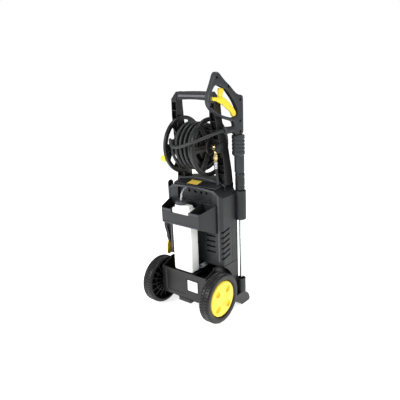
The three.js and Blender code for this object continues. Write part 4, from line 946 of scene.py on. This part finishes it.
class WASHER_OT_reel(bpy.types.Operator):
    """Make the hose reel: flanges, drum, shaft, crank, bushes, swivel and feed hose"""
    bl_idname = "washer.reel"
    bl_label = "Hose reel"

    def execute(self, context):
        for name, x, out in (("left", FLANGE_X[0], -1), ("right", FLANGE_X[1], 1)):
            centre = (x, REEL_Y, REEL_Z)
            rim = lathe([(98, -6.5), (111, -6.5), (113, -4), (113, 4), (111, 6.5), (108, 6.5), (106.5, 5),
                         (103, 5), (101.5, 6.5), (98, 6.5)], (out, 0, 0), centre, 1.2, 160)
            hub = lathe([(9.3, -6.5), (30, -6.5), (30, 3), (26, 5.5), (15, 6.5), (9.3, 6.5)],
                        (out, 0, 0), centre, 1.5)
            arm = slab([(26, -15), (60, -11), (100, -15), (100, 15), (60, 11), (26, 15)], -2.6, 2.6, (1, 1))
            flute = slab([(26, -1.5), (100, -1.5), (100, 1.5), (26, 1.5)], -5.4, 5.4, (1, 1), corner=0.5)
            parts = [rim, hub]
            for i in range(6):
                for shape in (arm, flute):
                    parts.append(spun(in_side_plane(shape, centre), math.radians(60 * i), "X", centre))
            piece(f"{name}_flange", parts, FINISH["black"], "reel",
                  (f"reel_flange_{name}",))
        drum = lathe([(9.3, -61.2), (54, -61.2), (54, 58.2), (9.3, 58.2)],
                     (1, 0, 0), (0, REEL_Y, REEL_Z), 1.0, 96)
        piece("hose_drum", [drum], FINISH["black"], "reel", ("reel_drum",))
        for name, edge in (("reel_shaft", 1.0), ("reel_bush_left", 0.6), ("reel_bush_right", 0.6)):
            soften(name, FINISH["grey"], edge)
        self.crank()
        self.swivel()
        return {"FINISHED"}

    @staticmethod
    def crank():
        """The crank arm is a bar with round ends, and its knob a waisted grip turned on a pin."""
        ends = np.array([(0.0, 0.0), CRANK_KNOB])
        lean = math.atan2(ends[1][1], ends[1][0])
        t = np.linspace(-np.pi / 2, np.pi / 2, 16)
        far = ends[1] + 13 * np.stack([np.cos(lean + t), np.sin(lean + t)], -1)
        near = 13 * np.stack([np.cos(lean + np.pi + t), np.sin(lean + np.pi + t)], -1)
        hole = np.array(CRANK_KNOB) + circle(4.8, 32)
        arm = slab(np.vstack([far, near]), -131, -122, (2.5, 2.5), holes=(hole,), corner=0)
        arm = in_side_plane(arm, (0, REEL_Y, REEL_Z))
        cover = lathe([(0, 131), (9, 131), (8, 134), (0, 134.5)], (-1, 0, 0), (0, REEL_Y, REEL_Z), 1)
        piece("crank", [arm, cover], FINISH["black"], "reel", ("crank_arm",))
        pin = (-131.3, REEL_Y + CRANK_KNOB[0], REEL_Z + CRANK_KNOB[1])
        knob = lathe([(0, -9), (4.5, -9), (4.5, 0), (11, 0), (14, 5), (13.2, 14), (13.4, 22), (11.5, 28.5),
                      (8, 30), (0, 30)], (-1, 0, 0), pin, 2)
        piece("winding_knob", [knob], FINISH["yellow"], "crank_knob", ("crank_knob",),
              crease=55)

    @staticmethod
    def swivel():
        """The brass swivel: a ring round the shaft, a threaded stem whose radius ripples with height, and a
        six-sided nut; a steel ferrule grips the feed hose."""
        x, y = 93.0, REEL_Y - 4
        band = lathe([(9.3, -9), (13, -9), (14, -7.5), (14, 7.5), (13, 9), (9.3, 9)], (1, 0, 0),
                     (x, REEL_Y, REEL_Z), 0.8)
        z = np.linspace(REEL_Z - 52, REEL_Z - 44, 40)
        thread = 7.6 + 0.4 * np.cos(2 * np.pi * (z - z[0]) / 1.5)
        low = np.column_stack([thread, z])
        high = [(8, REEL_Z - 43), (8, REEL_Z - 24), (6.5, REEL_Z - 20), (8, REEL_Z - 16), (8, REEL_Z - 12.5),
                (0, REEL_Z - 12.5)]
        post = grid(turned(np.vstack([[(0, z[0])], low, high]), 48, centre=(x, y, 0)))
        nut = slab(circle(9.5, 6), REEL_Z - 44, REEL_Z - 28, (1.2, 1.2), corner=1)
        nut = aimed(nut, (1, 0, 0), (0, 1, 0), (0, 0, 1), (x, y, 0))
        piece("brass_swivel", [band, post, nut], FINISH["brass"], "frame", ("swivel_fitting",))
        line = spline([(x, y, REEL_Z - 52.3), (x, y, REEL_Z - 62), (x + 3, y, 580), (x + 6, y + 2, 548),
                       (x + 6, y + 3, 538), (x + 6, y + 3, 528)], 3.0)
        tube_piece("feed_line", line, 11.0, (1, 0, 0), FINISH["hose"], "frame", ("feed_hose",), 24, 0.95)
        crimp = [(5.6, 0), (8.2, 0), (8.2, 6), (7.6, 7), (7.6, 9), (8.2, 10), (8.2, 16), (7.6, 17),
                 (7.6, 19), (8.2, 20), (8.2, 27), (5.6, 27)]
        ferrule = lathe(crimp, centre=(x + 0.4, y, REEL_Z - 80), radius=0.5)
        piece("hose_ferrule", [ferrule], FINISH["zinc"], "frame")


GUN_U = (math.cos(GUN_TURN), math.sin(GUN_TURN), 0.0)
GUN_W = (-math.sin(GUN_TURN), math.cos(GUN_TURN), 0.0)
GUN_AT = (LANCE_X, LANCE_Y, 0.0)
# The gun is drawn as (across, height), with the lance's axis at 0 across.
GUN_OUTLINE = [
    (-113, 951), (-103, 946), (-77, 919), (-51, 899), (-26, 873), (-8, 864), (8, 862), (13, 855),
    (13, 715.3), (-31, 715.3), (-31, 766), (-82, 783), (-136, 812), (-154, 832), (-159, 851), (-154, 875),
    (-133, 919), (-123, 944)]
GUN_OPENING = [
    (-114, 906), (-71, 888), (-35, 846), (-16, 813), (-17, 791), (-30, 781), (-62, 787), (-109, 803),
    (-138, 823), (-148, 849), (-144, 874), (-128, 901)]
LATCH_SLOT = [
    (-124, 908), (-112, 926), (-90, 917), (-68, 905.5), (-50, 891.5), (-38, 875), (-30, 846), (-16, 813),
    (-17, 791), (-30, 781), (-62, 787), (-109, 803), (-138, 823), (-148, 849), (-144, 874), (-130, 900)]
TRIGGER = [
    (-135, 864), (-103, 861), (-84, 863), (-56, 844), (-36, 823), (-19, 802), (-20, 788), (-37, 785),
    (-42, 802), (-62, 817), (-87, 836), (-113, 848), (-136, 852)]
LATCH = [(-101, 859), (-84, 859), (-82, 874), (-77, 887), (-86, 892.5), (-102, 892), (-103, 876)]
SCREWS = [(-117, 930), (-62, 897), (-4, 846), (-6, 768), (-6, 728), (-149, 832)]


def gun_part(part):
    """A part drawn in the gun's plane, (across, height, thickness), laid where the gun is parked."""
    return aimed(part, GUN_U, (0, 0, 1), GUN_W, GUN_AT)


class WASHER_OT_gun(bpy.types.Operator):
    """Make the trigger gun: both shells, trigger, safety latch, hose inlet and ribbed grip"""
    bl_idname = "washer.gun"
    bl_label = "Trigger gun"

    def execute(self, context):
        # Each half is a rounded face over a middle layer, which has room for the latch above the opening.
        for name, face, middle, edges in (
                ("rear", (-13.0, -6.4), (-6.6, -0.15), (5.5, 0.2)),
                ("front", (6.4, 13.0), (0.15, 6.6), (0.2, 5.5))):
            outer = slab(GUN_OUTLINE, *face, edges, holes=(GUN_OPENING,), corner=14, step=3.0)
            inner = slab(GUN_OUTLINE, *middle, (0.2, 0.2), holes=(LATCH_SLOT,), corner=14, step=3.0)
            piece(f"gun_{name}_half", [gun_part(outer), gun_part(inner)], FINISH["grey"], "gun",
                  (f"gun_shell_{name}",), crease=50)
        head = lathe([(0, 0), (4.8, 0), (4.8, 0.5), (4.0, 0.9), (3.4, 0.3), (0, 0.3)],
                     radius=0.2, segments=24)
        screws = [gun_part(aimed(head, (1, 0, 0), (0, 1, 0), (0, 0, -1), (u, v, -12.9))) for u, v in SCREWS]
        piece("gun_screws", screws, FINISH["screw"], "gun")
        lever = slab(TRIGGER, -6, 6, (2.4, 2.4), corner=8, step=2.5)
        piece("trigger_lever", [gun_part(lever)], FINISH["yellow"], "trigger",
              ("trigger",), crease=55)
        latch = slab(LATCH, -4.6, 4.6, (1.8, 1.8), corner=5, step=2.0)
        piece("latch_lever", [gun_part(latch)], FINISH["yellow"], "safety_latch",
              ("safety_latch",), crease=55)
        nut = [(0, 31.3), (15, 31.3), (13, 39), (13, 60), (14.2, 62), (14.2, 74), (10, 75.5), (8.6, 78),
               (0, 78)]
        profile = spaced(rounded(nut, 1.2, closed=False), 1.0)
        inlet = grid(turned(knurled(profile, 13.8, 0.6, 32, 160), 160))
        away = tuple(-c for c in GUN_U)
        inlet = aimed(inlet, GUN_W, (0, 0, 1), away, (LANCE_X, LANCE_Y, 738))
        piece("gun_hose_inlet", [inlet], FINISH["grey"], "gun", ("gun_inlet",))
        self.grip()
        return {"FINISHED"}

    @staticmethod
    def grip():
        """A turned sleeve, off the lance's axis, whose radius drops by 1.6 mm in each finger groove."""
        shift = -6
        neck = lathe([(0, 568), (18.5, 568), (19.5, 571), (19.5, 640), (0, 640)], radius=1,
                     centre=(LANCE_X + shift / 3 * GUN_U[0], LANCE_Y + shift / 3 * GUN_U[1], 0))
        profile = [(0, 634), (20, 634), (25, 642)]
        for i in range(4):
            z = 652 + 14 * i
            profile += [(25, z), (23.2, z + 1.6), (23.2, z + 5.4), (25, z + 7)]
        profile += [(25, 712), (22, 715), (0, 715)]
        sleeve = lathe(profile, radius=1.2, segments=96,
                       centre=(LANCE_X + shift * GUN_U[0], LANCE_Y + shift * GUN_U[1], 0))
        piece("ribbed_grip", [neck, sleeve], FINISH["grey"], "gun", ("barrel_grip",))


class WASHER_OT_lance(bpy.types.Operator):
    """Make the lance: bayonet coupling, steel tube and spray head"""
    bl_idname = "washer.lance"
    bl_label = "Lance"

    def execute(self, context):
        centre = (LANCE_X, LANCE_Y, 0)
        sleeve = [(6.8, 496), (16, 496), (19, 502), (19, 512), (18, 513.5), (18, 516), (19, 517.5),
                  (19, 546), (18, 547.5), (18, 550), (19, 551.5), (19, 561.7), (16, 567.7), (6.8, 567.7)]
        sleeve = lathe(sleeve, centre=centre, radius=1.2, segments=96)
        piece("bayonet_coupling", [sleeve], FINISH["charcoal"], "lance_coupling",
              ("lance_coupling",))
        tube = lathe([(0, 112.3), (6.5, 112.3), (6.5, 567.7), (0, 567.7)], centre=centre, radius=0.4)
        piece("steel_lance", [tube], FINISH["steel"], "gun", ("lance_tube",))
        head = [(0, 67), (5, 67), (6, 69), (8.5, 67.5), (11.5, 73)]
        for i in range(4):
            z = 76 + 6 * i
            head += [(11.5, z), (10.8, z + 1), (10.8, z + 2.2), (11.5, z + 3.2)]
        head += [(11.5, 100), (8.5, 108), (8.5, 112), (0, 112)]
        piece("spray_nozzle", [lathe(head, centre=centre, radius=0.8)], FINISH["black"], "spray_head",
              ("spray_head",))
        return {"FINISHED"}


class WASHER_OT_drive(bpy.types.Operator):
    """Finish the motor, pump, switch and inlet inside and behind the shells"""
    bl_idname = "washer.drive"
    bl_label = "Motor and pump"

    def execute(self, context):
        for name, finish in (
                ("motor_stator", "copper"), ("motor_rotor", "zinc"), ("motor_fan", "charcoal"),
                ("gear_housing", "cast"), ("wobble_plate", "zinc"), ("pump_head", "brass"),
                ("capacitor", "black"), ("switch_box", "black"), ("power_switch", "yellow"),
                ("water_inlet", "tube")):
            soften(name, FINISH[finish], 0.5)
        return {"FINISHED"}


class WASHER_OT_stage(bpy.types.Operator):
    """Lay the pale floor and hang the soft studio lights"""
    bl_idname = "washer.stage"
    bl_label = "Stage"

    def execute(self, context):
        material, tree, shader, at = blank("seamless paper")
        fibre = node(tree, "TexNoise", Vector=at.outputs["Object"], Scale=900.0, Detail=2.0)
        bump = node(tree, "Bump", Height=fibre.outputs[0], Strength=0.2, Distance=0.05 * MM)
        tree.links.new(bump.outputs[0], shader.inputs["Normal"])
        shader.inputs["Base Color"].default_value = (*linear("#F8F8F8"), 1.0)
        shader.inputs["Emission Color"].default_value = (1.0, 1.0, 1.0, 1.0)
        shader.inputs["Emission Strength"].default_value = 0.74
        shader.inputs["Roughness"].default_value = 0.9
        shader.inputs["Specular IOR Level"].default_value = 0.1
        mesh = bpy.data.meshes.new("floor")
        reach = 14.0
        corners = [(-reach, -reach, 0), (reach, -reach, 0), (reach, reach, 0), (-reach, reach, 0)]
        mesh.from_pydata(corners, [], [(0, 1, 2, 3)])
        floor = bpy.data.objects.new("floor", mesh)
        mesh.materials.append(material)
        context.scene.collection.objects.link(floor)
        context.scene.view_settings.view_transform = "Standard"
        world = bpy.data.worlds.new("studio")
        context.scene.world = world
        world.use_nodes = True
        # The studio's walls are dim, and a white sweep behind the object is all that the lens sees of them.
        tree = world.node_tree
        walls = tree.nodes["Background"]
        walls.inputs[0].default_value = (1.0, 1.0, 1.0, 1.0)
        walls.inputs[1].default_value = 0.3
        sweep = node(tree, "Background", Strength=1.0, Color=(1.0, 1.0, 1.0, 1.0))
        seen = node(tree, "LightPath")
        both = node(tree, "MixShader", _0=seen.outputs["Is Camera Ray"],
                    _1=walls.outputs[0], _2=sweep.outputs[0])
        tree.links.new(both.outputs[0], tree.nodes["World Output"].inputs[0])
        for name, spot, size, power in (
                ("key", (-0.9, -2.4, 1.7), 1.2, 66.0), ("side", (2.8, -0.3, 1.7), 1.0, 20.0),
                ("top", (0.2, 0.5, 2.8), 1.5, 46.0)):
            data = bpy.data.lights.new(name, "AREA")
            data.energy = power
            data.size = size
            lamp = bpy.data.objects.new(name, data)
            aim = np.array([0.0, 0.0, 0.45]) - spot
            lamp.matrix_world = Matrix.Translation(spot) @ self.facing(aim)
            context.scene.collection.objects.link(lamp)
        return {"FINISHED"}

    @staticmethod
    def facing(direction):
        """A turn that points a lamp's -z along a direction."""
        return Vector(direction).to_track_quat("-Z", "Y").to_matrix().to_4x4()


class WASHER_PT_panel(bpy.types.Panel):
    """Lists the washer's pieces and settings"""
    bl_label = "Pressure Washer"
    bl_idname = "WASHER_PT_panel"
    bl_space_type = "VIEW_3D"
    bl_region_type = "UI"
    bl_category = "Washer"

    def draw(self, context):
        for group in (context.scene.washer_colours, context.scene.washer_sizes):
            for setting in group.bl_rna.properties:
                if not setting.is_readonly and setting.identifier != "name":
                    self.layout.prop(group, setting.identifier)
        for operator in OPERATORS:
            self.layout.operator(operator.bl_idname)


OPERATORS = (
    WASHER_OT_camera, WASHER_OT_mains_cord, WASHER_OT_hose, WASHER_OT_wheels, WASHER_OT_chassis,
    WASHER_OT_body, WASHER_OT_bottle, WASHER_OT_handle, WASHER_OT_reel, WASHER_OT_gun, WASHER_OT_lance,
    WASHER_OT_drive, WASHER_OT_stage)
CLASSES = (WasherColours, WasherSizes, *OPERATORS, WASHER_PT_panel)


def register():
    for made in CLASSES:
        bpy.utils.register_class(made)
    bpy.types.Scene.washer_colours = bpy.props.PointerProperty(type=WasherColours)
    bpy.types.Scene.washer_sizes = bpy.props.PointerProperty(type=WasherSizes)


def unregister():
    del bpy.types.Scene.washer_colours
    del bpy.types.Scene.washer_sizes
    for made in reversed(CLASSES):
        bpy.utils.unregister_class(made)


def main():
    register()
    make_finishes()
    for operator in OPERATORS:
        group, name = operator.bl_idname.split(".")
        getattr(getattr(bpy.ops, group), name)()


if __name__ == "__main__":
    main()
